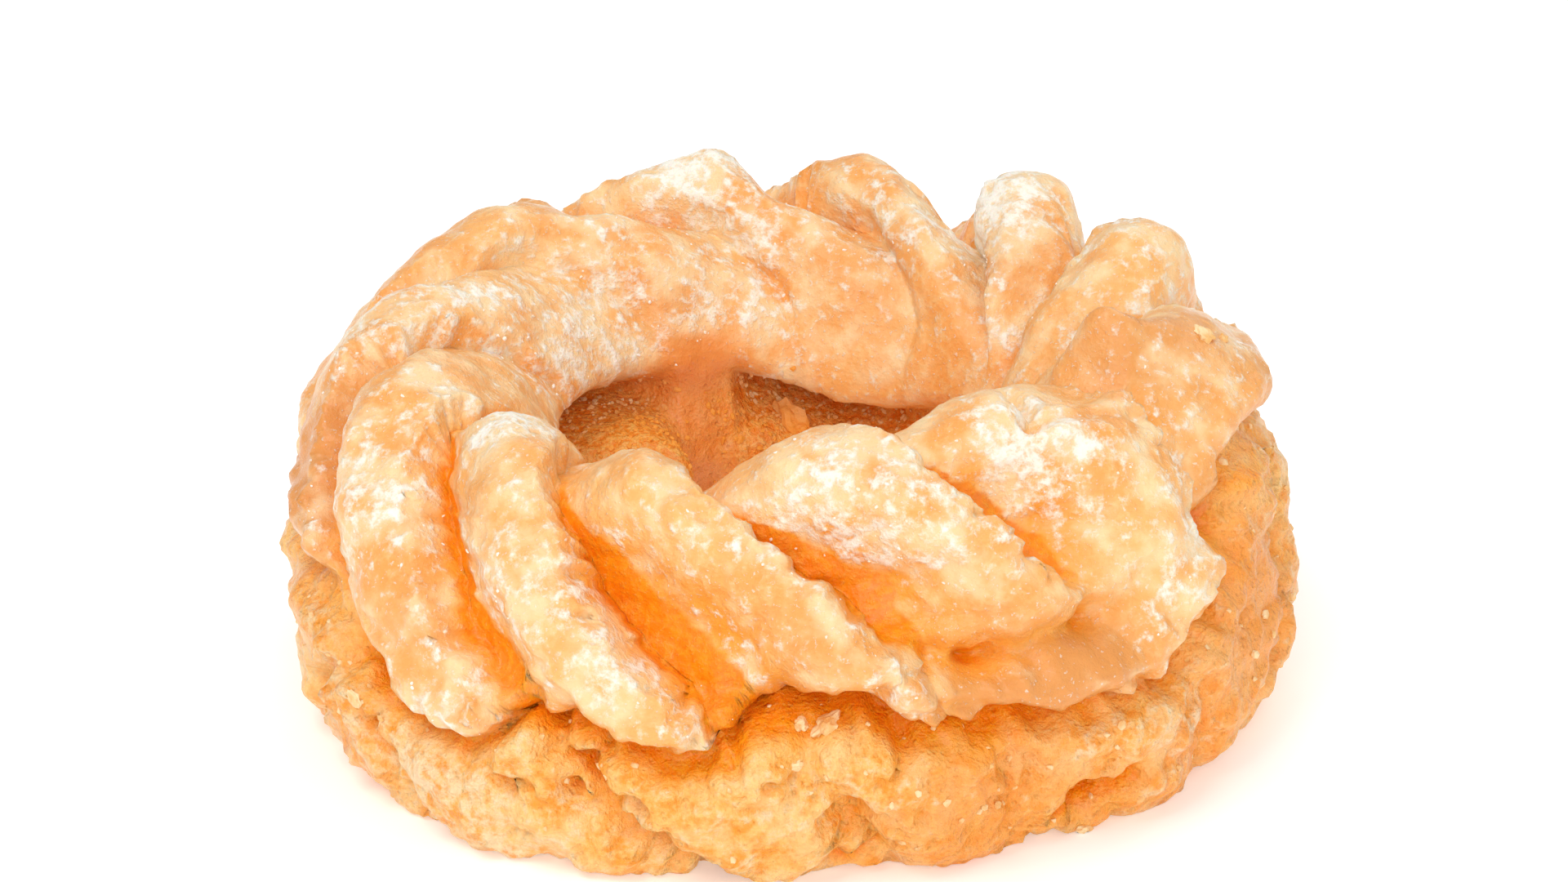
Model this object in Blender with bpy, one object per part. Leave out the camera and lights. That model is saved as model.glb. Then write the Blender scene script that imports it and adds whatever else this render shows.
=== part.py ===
"""Cruller doughnut: one solid ring of twelve piped swirls over a rougher lower tier.

Metres, +Z up, standing on z = 0.  Angles round the ring are in degrees, 0 at the
front (-Y), growing anticlockwise seen from above.  Angles round the tube are in
degrees too: 0 at the outer side, 90 on top, 180 in the hole, -90 underneath.
"""
import bmesh
import bpy
import numpy as np
from mathutils import Vector, noise

MM = 0.001

# Base ring, mm
RING_R = 32.1
TUBE_OUT = 11.9
TUBE_IN = 13.5
MID_Z = 14.4
TOP_H = 18.8
SECTION_TOP = 1.8
SECTION_LOW_OUT = 5.0
SECTION_LOW_IN = 2.6

# Changes round the ring, mm: angle, crest height, upper radius, lower radius
ROUND = (
    (-180, 0.0, 0.0, 0.0),
    (-150, 0.1, -0.3, 0.0),
    (-120, -0.3, -1.0, 0.0),
    (-100, -0.5, -1.6, -0.8),
    (-82, -0.6, -1.6, -1.4),
    (-68, -1.0, -1.0, -0.6),
    (-56, -1.4, -0.8, 0.6),
    (-45, -1.9, -0.6, 1.2),
    (-30, -1.8, -0.4, 0.6),
    (-15, -1.2, -0.4, -0.2),
    (0, 0.6, -0.4, -0.7),
    (15, 2.0, -0.3, -0.7),
    (30, 2.6, -0.3, -1.2),
    (45, 2.4, -0.4, 0.0),
    (60, 2.0, -0.8, 0.8),
    (75, 1.8, -1.2, 0.9),
    (90, 1.4, -1.0, 0.8),
    (120, 1.1, -0.6, 0.2),
    (150, 0.6, -0.3, 0.0),
    (180, 0.0, 0.0, 0.0),
)

# Creases between the swirls: name, hang of the edge over it, then knots of
# tube angle, ring angle, depth mm, floor width mm
CREASES = (
    ("A_L", 0.15, ((145, -146, 0.2, 0.3), (120, -135, 0.6, 0.3), (103, -127, 1.5, 0.4),
                   (95, -118, 1.9, 0.4), (80, -113, 2.2, 0.4), (65, -109, 2.6, 0.5),
                   (40, -102, 3.0, 0.6), (0, -90, 2.2, 0.6))),
    ("L_K", 0.20, ((150, -108, 0.5, 0.3), (132, -102, 1.4, 0.4), (103, -93, 2.8, 0.5),
                   (86, -86, 3.2, 0.5), (66, -83, 3.6, 0.6), (50, -77, 4.2, 0.6),
                   (30, -68, 4.4, 0.7), (10, -58, 3.2, 0.7), (0, -48, 2.4, 0.6))),
    ("K_J", 0.08, ((150, -70, 0.4, 0.3), (130, -64, 1.2, 0.4), (108, -60, 2.4, 0.5),
                   (88, -57, 3.0, 0.5), (65, -51.5, 4.0, 0.8), (45, -45, 5.0, 1.3),
                   (30, -40, 5.2, 1.6), (15, -36, 4.6, 1.6), (0, -29, 3.0, 1.2))),
    ("J_I", 0.28, ((150, -46, 0.4, 0.3), (120, -39, 1.4, 0.4), (90, -31, 2.6, 0.5),
                   (70, -28, 3.4, 0.6), (57, -24.5, 5.0, 1.4), (38, -19, 6.0, 3.2),
                   (22, -15.5, 6.0, 3.2), (10, -10.5, 5.0, 2.4), (0, -5, 3.2, 1.4))),
    ("I_H", 0.28, ((150, -28, 0.4, 0.3), (120, -20, 1.8, 0.4), (95, -12, 2.8, 0.5),
                   (75, -7, 3.8, 0.8), (58, -1, 5.2, 1.8), (42, 5, 5.8, 2.8),
                   (28, 11, 4.6, 1.8), (18, 17, 1.5, 0.8), (0, 24, 0.3, 0.5))),
    ("H_G", 0.28, ((150, 0, 0.4, 0.3), (120, 9, 1.4, 0.4), (100, 15, 2.4, 0.5),
                   (86, 18, 3.6, 1.0), (62, 24, 5.4, 2.4), (46, 28, 5.2, 2.2),
                   (33, 32, 3.4, 1.0), (20, 38, 1.0, 0.6), (0, 44, 0.3, 0.5))),
    ("G_F", 0.22, ((150, 54, 0.8, 0.3), (125, 58, 2.0, 0.4), (88, 61, 2.4, 0.4),
                   (70, 58, 2.6, 0.5), (48, 56.5, 3.0, 0.6), (33, 56.5, 3.6, 0.8),
                   (15, 58, 2.6, 0.6), (0, 62, 1.4, 0.5))),
    ("F_E", 0.22, ((150, 78, 2.0, 0.4), (125, 85, 2.8, 0.5), (97, 90, 3.0, 0.5),
                   (60, 99, 3.4, 0.6), (30, 108, 3.2, 0.6), (0, 118, 2.2, 0.6))),
    ("E_D", 0.20, ((150, 107, 1.4, 0.4), (130, 113, 2.8, 0.5), (108, 116, 4.2, 0.8),
                   (86, 119, 5.0, 1.0), (65, 121, 5.0, 1.0), (40, 129, 4.2, 1.0),
                   (0, 143, 2.6, 0.8))),
    ("D_C", 0.20, ((147, 118, 0.8, 0.4), (125, 131, 2.8, 0.6), (114, 137, 4.0, 0.9),
                   (104, 143, 5.2, 1.2), (85, 147, 5.8, 1.4), (65, 150, 5.6, 1.4),
                   (40, 158, 4.6, 1.2), (0, 172, 2.8, 0.8))),
    ("C_B", 0.20, ((145, 148, 0.5, 0.3), (128, 156.5, 1.8, 0.5), (108, 166, 3.6, 0.8),
                   (98, 173, 4.6, 1.0), (80, 177, 5.2, 1.2), (65, 179.5, 5.0, 1.2),
                   (40, 188, 4.2, 1.0), (0, 204, 2.6, 0.8))),
    ("B_A", 0.20, ((150, 176, 0.3, 0.3), (135, 181, 1.0, 0.4), (120, 189, 2.2, 0.6),
                   (107, 194, 3.0, 0.6), (98, 201, 3.4, 0.7), (84, 208, 3.8, 0.7),
                   (65, 212, 4.0, 0.7), (40, 220, 3.8, 0.8), (0, 236, 2.6, 0.8))),
)

# Swirls in the order of the creases on their left: name, height mm, place of the crown
CROWNS = (
    ("L", 0.9, 0.55),
    ("K", 1.2, 0.50),
    ("J", 1.4, 0.60),
    ("I", 1.5, 0.62),
    ("H", 1.5, 0.64),
    ("G", 1.3, 0.62),
    ("F", 1.2, 0.60),
    ("E", 1.8, 0.56),
    ("D", 2.0, 0.66),
    ("C", 1.8, 0.52),
    ("B", 1.7, 0.50),
    ("A", 1.5, 0.72),
)

# Crease between the upper swirls and the lower tier: ring angle, tube angle, depth mm
TIER = (
    (-180, 5, 2.6), (-150, 6, 2.8), (-120, 4, 2.6), (-100, 5, 2.0), (-85, 6, 2.0),
    (-70, 8, 2.2), (-60, 8, 2.4), (-48, 0, 2.6), (-33, -2, 2.2), (-17, 0, 2.6),
    (-7, 1, 4.0), (0, 5, 5.0), (10, 8, 5.0), (17, 7, 3.6), (22, 3, 3.0), (30, 0, 2.8),
    (38, -1, 2.4), (47, 7, 2.2), (56, 14, 2.2), (62, 26, 2.4), (72, 37, 2.2),
    (88, 40, 2.4), (102, 30, 2.6), (120, 14, 2.6), (150, 8, 2.8), (180, 5, 2.6),
)
TIER_HALF = 7.5
TIER_LIP = 0.9

# Crease inside the hole between the swirl ends and the lower tier: the same three
INNER_TIER = (
    (-180, 171, 3.4), (-150, 170, 3.4), (-120, 168, 3.2), (-95, 166, 2.6), (-60, 172, 2.2),
    (0, 176, 2.0), (60, 172, 2.2), (95, 168, 2.8), (130, 170, 3.2), (180, 171, 3.4),
)
INNER_HALF = 11.0

# Shorter creases: depth mm, half width mm, then ring angle and tube angle of each point
CUTS = (
    (2.2, 1.5, ((-53, -2), (-60, -14), (-66, -30), (-63, -60))),
    (2.6, 1.4, ((-50, -20), (-46, -38), (-37, -62))),
    (1.0, 1.6, ((-49, -4), (-45, -24))),
    (4.2, 1.7, ((-24, -6), (-21, -20), (-16, -31), (-9, -48), (-4, -72))),
    (2.0, 1.6, ((1, -3), (4, -14), (8, -28), (13, -50))),
    (2.2, 1.7, ((8, -28), (11, -38))),
    (2.2, 1.6, ((24, -6), (27, -28), (32, -58))),
    (3.2, 1.9, ((33, -38), (39, -35))),
    (1.4, 1.4, ((48, 2), (52, -14), (55, -42))),
    (2.4, 1.5, ((79, 22), (77, 4), (70, -28), (62, -52))),
    (2.2, 1.6, ((57, 27), (64, 24))),
    (1.8, 1.2, ((14, 21), (20, 18), (29, 17), (38, 16))),
    (2.2, 1.6, ((94, 20), (99, -10), (106, -50))),
    (2.6, 1.7, ((116, 4), (122, -24), (130, -64))),
    (2.2, 1.6, ((140, 2), (147, -28), (153, -60))),
    (2.8, 1.7, ((163, 0), (168, -22), (178, -64))),
    (2.2, 1.6, ((187, 0), (193, -28), (200, -58))),
    (2.6, 1.7, ((210, 0), (217, -26), (225, -66))),
    (2.2, 1.6, ((234, 0), (239, -24), (247, -58))),
    (2.4, 1.6, ((257, 0), (263, -26), (272, -64))),
    (1.6, 1.8, ((-34, -76), (-26, -104), (-20, -130))),
    (1.6, 1.8, ((20, -76), (27, -104), (34, -130))),
    (1.6, 1.8, ((72, -76), (80, -104), (88, -130))),
    (1.6, 1.8, ((126, -76), (133, -104), (141, -130))),
    (1.6, 1.8, ((182, -76), (190, -104), (197, -130))),
    (1.6, 1.8, ((236, -76), (243, -104), (250, -130))),
)

# Knobs and lobes: ring angle, tube angle, height mm, radius mm
KNOBS = (
    (-141, 72, 2.2, 3.8),
    (-155, 80, 0.9, 4.0),
    (-172, 76, 2.4, 3.8),
    (168, 76, 1.0, 3.4),
    (141, 78, 1.2, 3.4),
    (134, 74, 0.5, 3.0),
    (112, 78, 1.4, 4.0),
    (105, 64, 0.4, 4.4),
    (84, 106, 1.8, 3.4),
    (82, 54, 1.6, 6.0),
    (70, 58, 1.0, 6.0),
    (66, 36, 1.0, 4.0),
    (50, 118, 1.2, 3.4),
    (34, 112, 1.0, 5.0),
    (8, 106, 2.6, 4.2),
    (-2, 98, 1.3, 3.2),
    (-19, 84, 1.3, 5.0),
    (-50, 94, 1.3, 4.0),
    (-72, 64, 1.2, 4.0),
    (-60, 42, 0.8, 5.0),
    (-87, 54, 0.7, 5.0),
    (-57, -14, 0.8, 4.0),
    (-36, -40, 0.9, 5.0),
    (-10, -18, 0.9, 6.0),
    (18, -30, 0.8, 5.0),
    (44, -22, 0.8, 6.0),
    (83, 20, 1.4, 6.0),
    (74, -12, 0.7, 5.0),
)

# Big and small unevenness: size of a lump mm, height mm
LUMPS = ((11.0, 0.75), (5.0, 0.40))

# Share of a swirl's width over which its left flank climbs out of the crease
RISE = 0.60
LUMP_SEED = Vector((3.7, 11.2, 5.9))

# How much of the lumpy underside is pressed flat where the doughnut stands, mm
REST_CUT = 0.7

STRANDS = len(CREASES)
COLUMNS_A_SWIRL = 14
ROWS = (-90, -72, -60, -51, -43, -36, -29, -22, -15, -9, -4, 1, 6, 11, 17, 23, 30, 37,
        45, 53, 61, 69, 78, 87, 97, 107, 118, 130, 143, 155, 166, 178, 196, 220, 246)


def smooth(value):
    """Step from 0 to 1 with soft ends."""
    t = np.clip(value, 0.0, 1.0)
    return t * t * (3.0 - 2.0 * t)


def around(table, column, theta):
    """One column of a table of ring angles, read at the angles given."""
    angles = np.array([row[0] for row in table], float)
    values = np.array([row[column] for row in table], float)
    turned = (theta + 180.0) % 360.0 - 180.0
    return np.interp(turned, angles, values)


def crease_line(index, phi):
    """Ring angle, depth and floor width of one crease at the tube angles given."""
    knots = sorted(CREASES[index][2])
    first = knots[0]
    last = knots[-1]
    under = 0.7 * (first[1] + 4.0) + 0.3 * last[1]
    tube = [-90.0, -35.0] + [k[0] for k in knots] + [190.0, 270.0]
    ring = [under, first[1] + 4.0] + [k[1] for k in knots] + [last[1], under]
    deep = [0.0, 0.4 * first[2]] + [k[2] for k in knots] + [0.0, 0.0]
    wide = [0.3, 0.3] + [k[3] for k in knots] + [0.3, 0.3]
    return np.interp(phi, tube, ring), np.interp(phi, tube, deep), np.interp(phi, tube, wide)


def section(theta, phi):
    """Point of the base ring, mm."""
    ring = np.radians(theta)
    tube = np.radians(phi)
    cos = np.cos(tube)
    sin = np.sin(tube)
    low = np.clip(-sin, 0.0, 1.0) ** 0.5
    floor_power = np.where(cos > 0.0, SECTION_LOW_OUT, SECTION_LOW_IN)
    power = SECTION_TOP + (floor_power - SECTION_TOP) * low
    size = (np.abs(cos) ** power + np.abs(sin) ** power) ** (-1.0 / power)
    upper = smooth((sin + 0.25) / 0.5)
    change = around(ROUND, 2, theta) * upper + around(ROUND, 3, theta) * (1.0 - upper)
    outside = TUBE_OUT + change
    width = np.where(cos > 0.0, outside, TUBE_IN)
    rho = RING_R + size * cos * width
    height = np.where(sin > 0.0, TOP_H + around(ROUND, 1, theta), MID_Z)
    z = MID_Z + size * sin * height
    return np.stack((rho * np.sin(ring), -rho * np.cos(ring), z), -1)


def frame(theta, phi):
    """Base point with its outward, round-the-ring and round-the-tube directions."""
    step = 0.5
    here = section(theta, phi)
    along = section(theta + step, phi) - section(theta - step, phi)
    up = section(theta, phi + step) - section(theta, phi - step)
    along /= np.linalg.norm(along, axis=-1, keepdims=True)
    up /= np.linalg.norm(up, axis=-1, keepdims=True)
    out = np.cross(along, up)
    out /= np.linalg.norm(out, axis=-1, keepdims=True)
    return here, out, along, up


def swirl_relief(strand, across, phi, left, right):
    """Height above the base and sideways lean of one swirl, mm."""
    width = (right[0] - left[0]) * np.pi / 180.0 * RING_R
    from_left = across * width
    from_right = (1.0 - across) * width
    rise_left = smooth((from_left - left[2]) / (RISE * width)) ** 0.85
    rise_right = smooth((from_right - 0.2) / 1.9) ** 0.7
    crown = CROWNS[strand][1]
    place = CROWNS[strand][2]
    dome = np.where(across < place, across / place, (1.0 - across) / (1.0 - place))
    dome = np.sin(0.5 * np.pi * dome)
    height = crown * dome * smooth((phi + 6.0) / 30.0) * smooth((172.0 - phi) / 45.0)
    height = height - left[1] * (1.0 - rise_left) - right[1] * (1.0 - rise_right)
    hang = CREASES[(strand + 1) % STRANDS][1]
    lean = hang * right[1] * np.exp(-((from_right - 1.7) / 1.5) ** 2)
    return height, lean


def tier_relief(theta, phi):
    """Depth of the tier creases, their lips and how far the lips hang, mm."""
    depth = around(TIER, 2, theta)
    away = (phi - around(TIER, 1, theta)) / TIER_HALF
    cut = -depth * np.exp(-np.abs(away) ** 2.2)
    lip = TIER_LIP * np.exp(-((away - 1.7) / 0.8) ** 2)
    shoulder = 0.5 * np.exp(-((away + 2.2) / 1.0) ** 2)
    droop = -0.28 * depth * np.exp(-((away - 1.15) / 0.6) ** 2)
    inner = (phi - around(INNER_TIER, 1, theta)) / INNER_HALF
    inner_cut = -around(INNER_TIER, 2, theta) * np.exp(-np.abs(inner) ** 2.2)
    inner_lip = 0.8 * np.exp(-((inner + 1.5) / 0.8) ** 2)
    swell = 0.6 + 1.4 * np.exp(-((theta + 115.0) / 30.0) ** 2)
    inner_swell = swell * np.exp(-((inner - 2.6) / 1.4) ** 2)
    inner_droop = 0.30 * around(INNER_TIER, 2, theta) * np.exp(-((inner + 1.1) / 0.6) ** 2)
    return cut + lip + shoulder + inner_cut + inner_lip + inner_swell, droop + inner_droop


def cut_relief(theta, phi):
    """Depth of the shorter creases, mm."""
    total = np.zeros_like(theta)
    for depth, half, points in CUTS:
        best = np.full_like(theta, 1e9)
        for (t0, p0), (t1, p1) in zip(points[:-1], points[1:]):
            mid = 0.5 * (t0 + t1)
            ring_mm = 0.72
            tube_mm = 0.26
            dt = ((theta - mid + 180.0) % 360.0 - 180.0) * ring_mm
            dp = (phi - 0.5 * (p0 + p1) + 180.0) % 360.0 - 180.0
            dp = dp * tube_mm
            vt = (t1 - t0) * ring_mm
            vp = (p1 - p0) * tube_mm
            part = np.clip((dt * vt + dp * vp) / (vt * vt + vp * vp), -0.5, 0.5)
            gap = np.hypot(dt - part * vt, dp - part * vp)
            best = np.minimum(best, gap)
        total -= depth * np.exp(-(best / half) ** 2)
    return total


def knob_relief(points):
    """Height of the knobs and lobes, mm."""
    total = np.zeros(points.shape[:-1])
    for ring, tube, height, radius in KNOBS:
        centre = section(np.array(float(ring)), np.array(float(tube)))
        gap = np.linalg.norm(points - centre, axis=-1)
        total += height * np.exp(-(gap / radius) ** 2)
    return total


def lump_relief(points):
    """Slow unevenness of the fried dough, mm."""
    flat = points.reshape(-1, 3)
    total = np.zeros(len(flat))
    for size, height in LUMPS:
        for index, point in enumerate(flat):
            spot = Vector(point) / size + LUMP_SEED
            total[index] += height * noise.noise(spot)
    return total.reshape(points.shape[:-1])


def surface():
    """Grid of points of the whole crust, rows round the tube by columns round the ring."""
    phi = np.array(ROWS, float)[:, None]
    theta_parts = []
    height_parts = []
    lean_parts = []
    ease = np.linspace(0.0, 1.0, COLUMNS_A_SWIRL, endpoint=False)
    across = ease - 0.075 * np.sin(2.0 * np.pi * ease)
    across = across[None, :]
    for strand in range(STRANDS):
        left = crease_line(strand, phi)
        right = crease_line((strand + 1) % STRANDS, phi)
        if strand + 1 == STRANDS:
            right = (right[0] + 360.0, right[1], right[2])
        theta_parts.append(left[0] + across * (right[0] - left[0]))
        height, lean = swirl_relief(strand, across, phi, left, right)
        height_parts.append(height)
        lean_parts.append(lean)
    theta = np.concatenate(theta_parts, 1)
    height = np.concatenate(height_parts, 1)
    lean = np.concatenate(lean_parts, 1)
    phi = np.broadcast_to(phi, theta.shape)
    above = smooth((phi - around(TIER, 1, theta) + 4.0) / 10.0)
    here, out, along, up = frame(theta, phi)
    tier, droop = tier_relief(theta, phi)
    height = height * above + tier + cut_relief(theta, phi) + knob_relief(here)
    height = height + lump_relief(here)
    points = here + out * height[..., None] + along * (lean * above)[..., None]
    points = points + up * droop[..., None]
    points[..., 2] = np.maximum(points[..., 2], REST_CUT)
    return points


def centred(points):
    """Points moved so that the box is centred over the origin and stands on z = 0."""
    low = points.reshape(-1, 3).min(0)
    high = points.reshape(-1, 3).max(0)
    shift = -0.5 * (low + high)
    shift[2] = -low[2]
    return points + shift


def mesh_from(points, name):
    """Closed ring mesh in metres from the grid of points."""
    rows, columns = points.shape[:2]
    bm = bmesh.new()
    verts = [[bm.verts.new(tuple(p * MM)) for p in row] for row in points]
    for r in range(rows):
        for c in range(columns):
            a = verts[r][c]
            b = verts[r][(c + 1) % columns]
            d = verts[(r + 1) % rows][c]
            e = verts[(r + 1) % rows][(c + 1) % columns]
            if (a.co - e.co).length < (b.co - d.co).length:
                bm.faces.new((a, b, e))
                bm.faces.new((a, e, d))
            else:
                bm.faces.new((a, b, d))
                bm.faces.new((b, e, d))
    bmesh.ops.recalc_face_normals(bm, faces=bm.faces)
    mesh = bpy.data.meshes.new(name)
    bm.to_mesh(mesh)
    bm.free()
    return mesh


def glazed_dough():
    """Material of the crust under its thin glaze."""
    material = bpy.data.materials.new("glazed_dough")
    material.use_nodes = True
    shader = material.node_tree.nodes["Principled BSDF"]
    shader.inputs["Base Color"].default_value = (0.86, 0.52, 0.24, 1.0)
    shader.inputs["Roughness"].default_value = 0.42
    shader.inputs["Metallic"].default_value = 0.0
    material.diffuse_color = (0.86, 0.52, 0.24, 1.0)
    return material


for old in list(bpy.data.objects):
    bpy.data.objects.remove(old, do_unlink=True)

cruller = bpy.data.objects.new("cruller", mesh_from(centred(surface()), "cruller"))
cruller.data.materials.append(glazed_dough())
bpy.context.scene.collection.objects.link(cruller)
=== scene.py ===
"""Looks of the cruller doughnut: the glazed, piped ring and everything that clings to it.

Lengths in the shape tables are millimetres.  Angles round the ring are degrees, 0 at the front (-Y),
growing anticlockwise seen from above.  Angles round the tube are degrees, 0 outside, 90 on top,
180 in the hole, -90 underneath.
"""
import math

import bmesh
import bpy
import numpy as np
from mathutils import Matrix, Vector, noise


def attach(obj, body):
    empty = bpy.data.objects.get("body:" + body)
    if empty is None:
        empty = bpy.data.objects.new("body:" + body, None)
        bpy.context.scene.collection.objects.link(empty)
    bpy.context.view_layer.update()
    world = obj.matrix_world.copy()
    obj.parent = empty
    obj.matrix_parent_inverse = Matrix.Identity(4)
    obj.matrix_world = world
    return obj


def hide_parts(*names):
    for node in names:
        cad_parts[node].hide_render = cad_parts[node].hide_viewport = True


MM = 0.001

# Where the ring's own middle lies in the frame, mm
RING_MIDDLE = (-0.578, -0.679, -0.700)

# Base ring, mm: radius at the crest, reach outwards and into the hole, height of its widest line,
# the crest's height above that, and height at which the underside is cut flat
RING_R = 32.1
TUBE_OUT = 11.9
TUBE_IN = 13.5
MID_Z = 14.4
TOP_H = 18.8
REST_CUT = 0.7

# Roundness of the section, where 2 is an ellipse and more is squarer: the upper half, then the
# underside outside and in the hole
SECTION_TOP = 1.8
SECTION_LOW_OUT = 5.0
SECTION_LOW_IN = 2.6

# Changes round the ring, mm: angle, crest height, upper radius, lower radius
ROUND = (
    (-180, 0.0, 0.0, 0.0), (-150, 0.1, -0.3, 0.0), (-120, -0.3, -1.0, 0.0),
    (-100, -0.5, -1.6, -0.8), (-82, -0.6, -1.6, -1.4), (-68, -1.0, -1.0, -0.6),
    (-56, -1.4, -0.8, 0.6), (-45, -1.9, -0.6, 1.2), (-30, -2.1, -0.4, 0.6), (-15, -1.6, -0.4, -0.2),
    (0, 0.3, -0.4, -0.7), (15, 2.0, -0.3, -0.7), (30, 2.6, -0.3, -1.2), (45, 2.4, -0.4, 0.0),
    (60, 2.0, -0.8, 0.8), (75, 1.8, -1.2, 0.9), (90, 1.4, -1.0, 0.8), (120, 1.1, -0.6, 0.2),
    (150, 0.6, -0.3, 0.0), (180, 0.0, 0.0, 0.0),
)

# Creases between the swirls: name, share of its depth by which the edge hangs over it, then knots
# of tube angle, ring angle, depth mm, floor width mm
CREASES = (
    ("A_L", 0.15, ((145, -146, 0.2, 0.3), (120, -135, 0.6, 0.3), (103, -127, 1.5, 0.4),
                   (95, -118, 1.9, 0.4), (80, -113, 2.2, 0.4), (65, -109, 2.6, 0.5),
                   (40, -102, 3.0, 0.6), (0, -90, 2.2, 0.6))),
    ("L_K", 0.20, ((150, -108, 0.5, 0.3), (132, -102, 1.4, 0.4), (103, -93, 2.8, 0.5),
                   (86, -87, 3.2, 0.5), (66, -85, 3.6, 0.6), (50, -81, 4.2, 0.6),
                   (30, -72.5, 4.4, 0.7), (10, -62, 3.2, 0.7), (0, -54, 2.4, 0.6))),
    ("K_J", 0.06, ((150, -70, 0.4, 0.3), (130, -65, 1.2, 0.4), (108, -61, 2.2, 0.5),
                   (88, -58.5, 2.8, 0.5), (65, -54, 4.0, 0.5), (48, -48.5, 4.6, 0.7),
                   (34, -44, 4.6, 0.9), (24, -41, 4.4, 1.6), (14, -37.5, 4.0, 2.6),
                   (5, -33.0, 2.6, 2.6), (-4, -30, 1.0, 1.0))),
    ("J_I", 0.16, ((150, -48, 0.4, 0.3), (120, -42, 1.4, 0.4), (90, -34.5, 2.6, 0.5),
                   (74, -31, 3.4, 0.9), (60, -27.3, 5.0, 3.0), (42, -23.2, 6.2, 4.8),
                   (27, -18.0, 6.2, 5.2), (12, -11.0, 5.4, 4.6), (2, -6.8, 2.9, 2.4),
                   (-8, -4.8, 1.0, 0.8))),
    ("I_H", 0.18, ((150, -28, 0.4, 0.3), (120, -20, 1.8, 0.4), (95, -12, 2.8, 0.5),
                   (75, -7, 3.8, 1.2), (58, -1, 5.4, 2.8), (42, 5, 6.0, 4.0),
                   (28, 11, 5.0, 2.6), (21, 15, 2.4, 0.9), (10, 17, 1.5, 0.4),
                   (0, 20, 0.6, 0.4))),
    ("H_G", 0.20, ((150, 0, 0.4, 0.3), (120, 9, 1.4, 0.4), (100, 15, 2.4, 0.5),
                   (86, 18.5, 3.6, 1.4), (62, 24.5, 5.6, 3.2), (46, 28.5, 5.6, 3.2),
                   (33, 33, 3.2, 1.2), (26, 37, 0.6, 0.4), (0, 44, 0.1, 0.4))),
    ("G_F", 0.22, ((150, 54, 0.8, 0.3), (125, 58, 2.0, 0.4), (88, 61, 2.4, 0.4),
                   (70, 58, 2.6, 0.5), (48, 56.5, 3.0, 0.6), (33, 56.5, 3.6, 0.8),
                   (15, 58, 2.6, 0.6), (0, 62, 1.4, 0.5))),
    ("F_E", 0.22, ((150, 78, 2.0, 0.4), (125, 85, 2.8, 0.5), (97, 90, 3.0, 0.5),
                   (60, 99, 3.4, 0.6), (30, 108, 3.2, 0.6), (0, 118, 2.2, 0.6))),
    ("E_D", 0.20, ((150, 107, 1.4, 0.4), (130, 113, 2.8, 0.5), (108, 116, 4.2, 0.8),
                   (86, 119, 5.0, 1.0), (65, 121, 5.0, 1.0), (40, 129, 4.2, 1.0),
                   (0, 143, 2.6, 0.8))),
    ("D_C", 0.20, ((147, 118, 0.8, 0.4), (125, 131, 2.8, 0.6), (114, 137, 4.0, 0.9),
                   (104, 143, 5.2, 1.2), (85, 147, 5.8, 1.4), (65, 150, 5.6, 1.4),
                   (40, 158, 4.6, 1.2), (0, 172, 2.8, 0.8))),
    ("C_B", 0.20, ((145, 146, 0.2, 0.3), (128, 154.5, 0.9, 0.5), (108, 165, 2.8, 0.8),
                   (98, 173, 4.2, 1.0), (80, 177, 5.2, 1.2), (65, 179.5, 5.0, 1.2),
                   (40, 188, 4.2, 1.0), (0, 204, 2.6, 0.8))),
    ("B_A", 0.20, ((150, 176, 0.3, 0.3), (135, 181, 1.0, 0.4), (120, 189, 2.2, 0.6),
                   (107, 194, 3.0, 0.6), (98, 201, 3.4, 0.7), (84, 208, 3.8, 0.7),
                   (65, 212, 4.0, 0.7), (40, 220, 3.8, 0.8), (0, 236, 2.6, 0.8))),
)

# Swirls in the order of the creases on their left: name, height mm, place of the crown
CROWNS = (
    ("L", 0.9, 0.55), ("K", 1.2, 0.50), ("J", 1.4, 0.60), ("I", 1.5, 0.62), ("H", 1.5, 0.64),
    ("G", 1.3, 0.62), ("F", 1.2, 0.60), ("E", 1.8, 0.56), ("D", 2.0, 0.66), ("C", 1.8, 0.52),
    ("B", 1.7, 0.50), ("A", 1.5, 0.72),
)

# Crease between the upper swirls and the lower tier: ring angle, tube angle, depth mm,
# half width in degrees
TIER = (
    (-180, 5, 2.6, 7.5), (-150, 6, 2.8, 7.5), (-120, 4, 2.6, 7.5), (-100, 5, 2.0, 7.5),
    (-85, 6, 2.0, 7.0), (-70, 7, 2.2, 7.0), (-60, 4, 2.4, 6.5), (-50, -6, 2.8, 6.0),
    (-44, -9, 3.0, 6.0), (-36, -12, 3.0, 6.0), (-32, -10, 3.0, 6.0), (-29, 2, 3.2, 6.0),
    (-26, 5, 3.2, 6.0), (-22, 0, 3.0, 6.0), (-17, -5, 3.0, 5.5), (-13, -8, 3.2, 5.5),
    (-8.5, -9, 3.6, 6.0), (-5.5, -3, 4.4, 6.5), (-2.5, 6, 5.8, 9.0), (1, 10, 6.4, 9.5),
    (6, 9, 6.4, 9.0), (11, 7, 5.4, 8.0),
    (16, 3, 4.2, 6.5), (22, 1, 3.6, 5.5), (30, -2, 3.2, 5.5), (36, -5, 3.0, 5.5),
    (43, -2, 2.6, 5.5), (50, 3, 2.4, 6.0), (54, 8, 2.4, 6.5), (57, 16, 2.2, 7.0),
    (62, 26, 2.4, 7.5), (72, 37, 2.2, 7.5), (88, 40, 2.4, 7.5), (102, 30, 2.6, 7.5),
    (120, 14, 2.6, 7.5), (150, 8, 2.8, 7.5), (180, 5, 2.6, 7.5),
)

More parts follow.
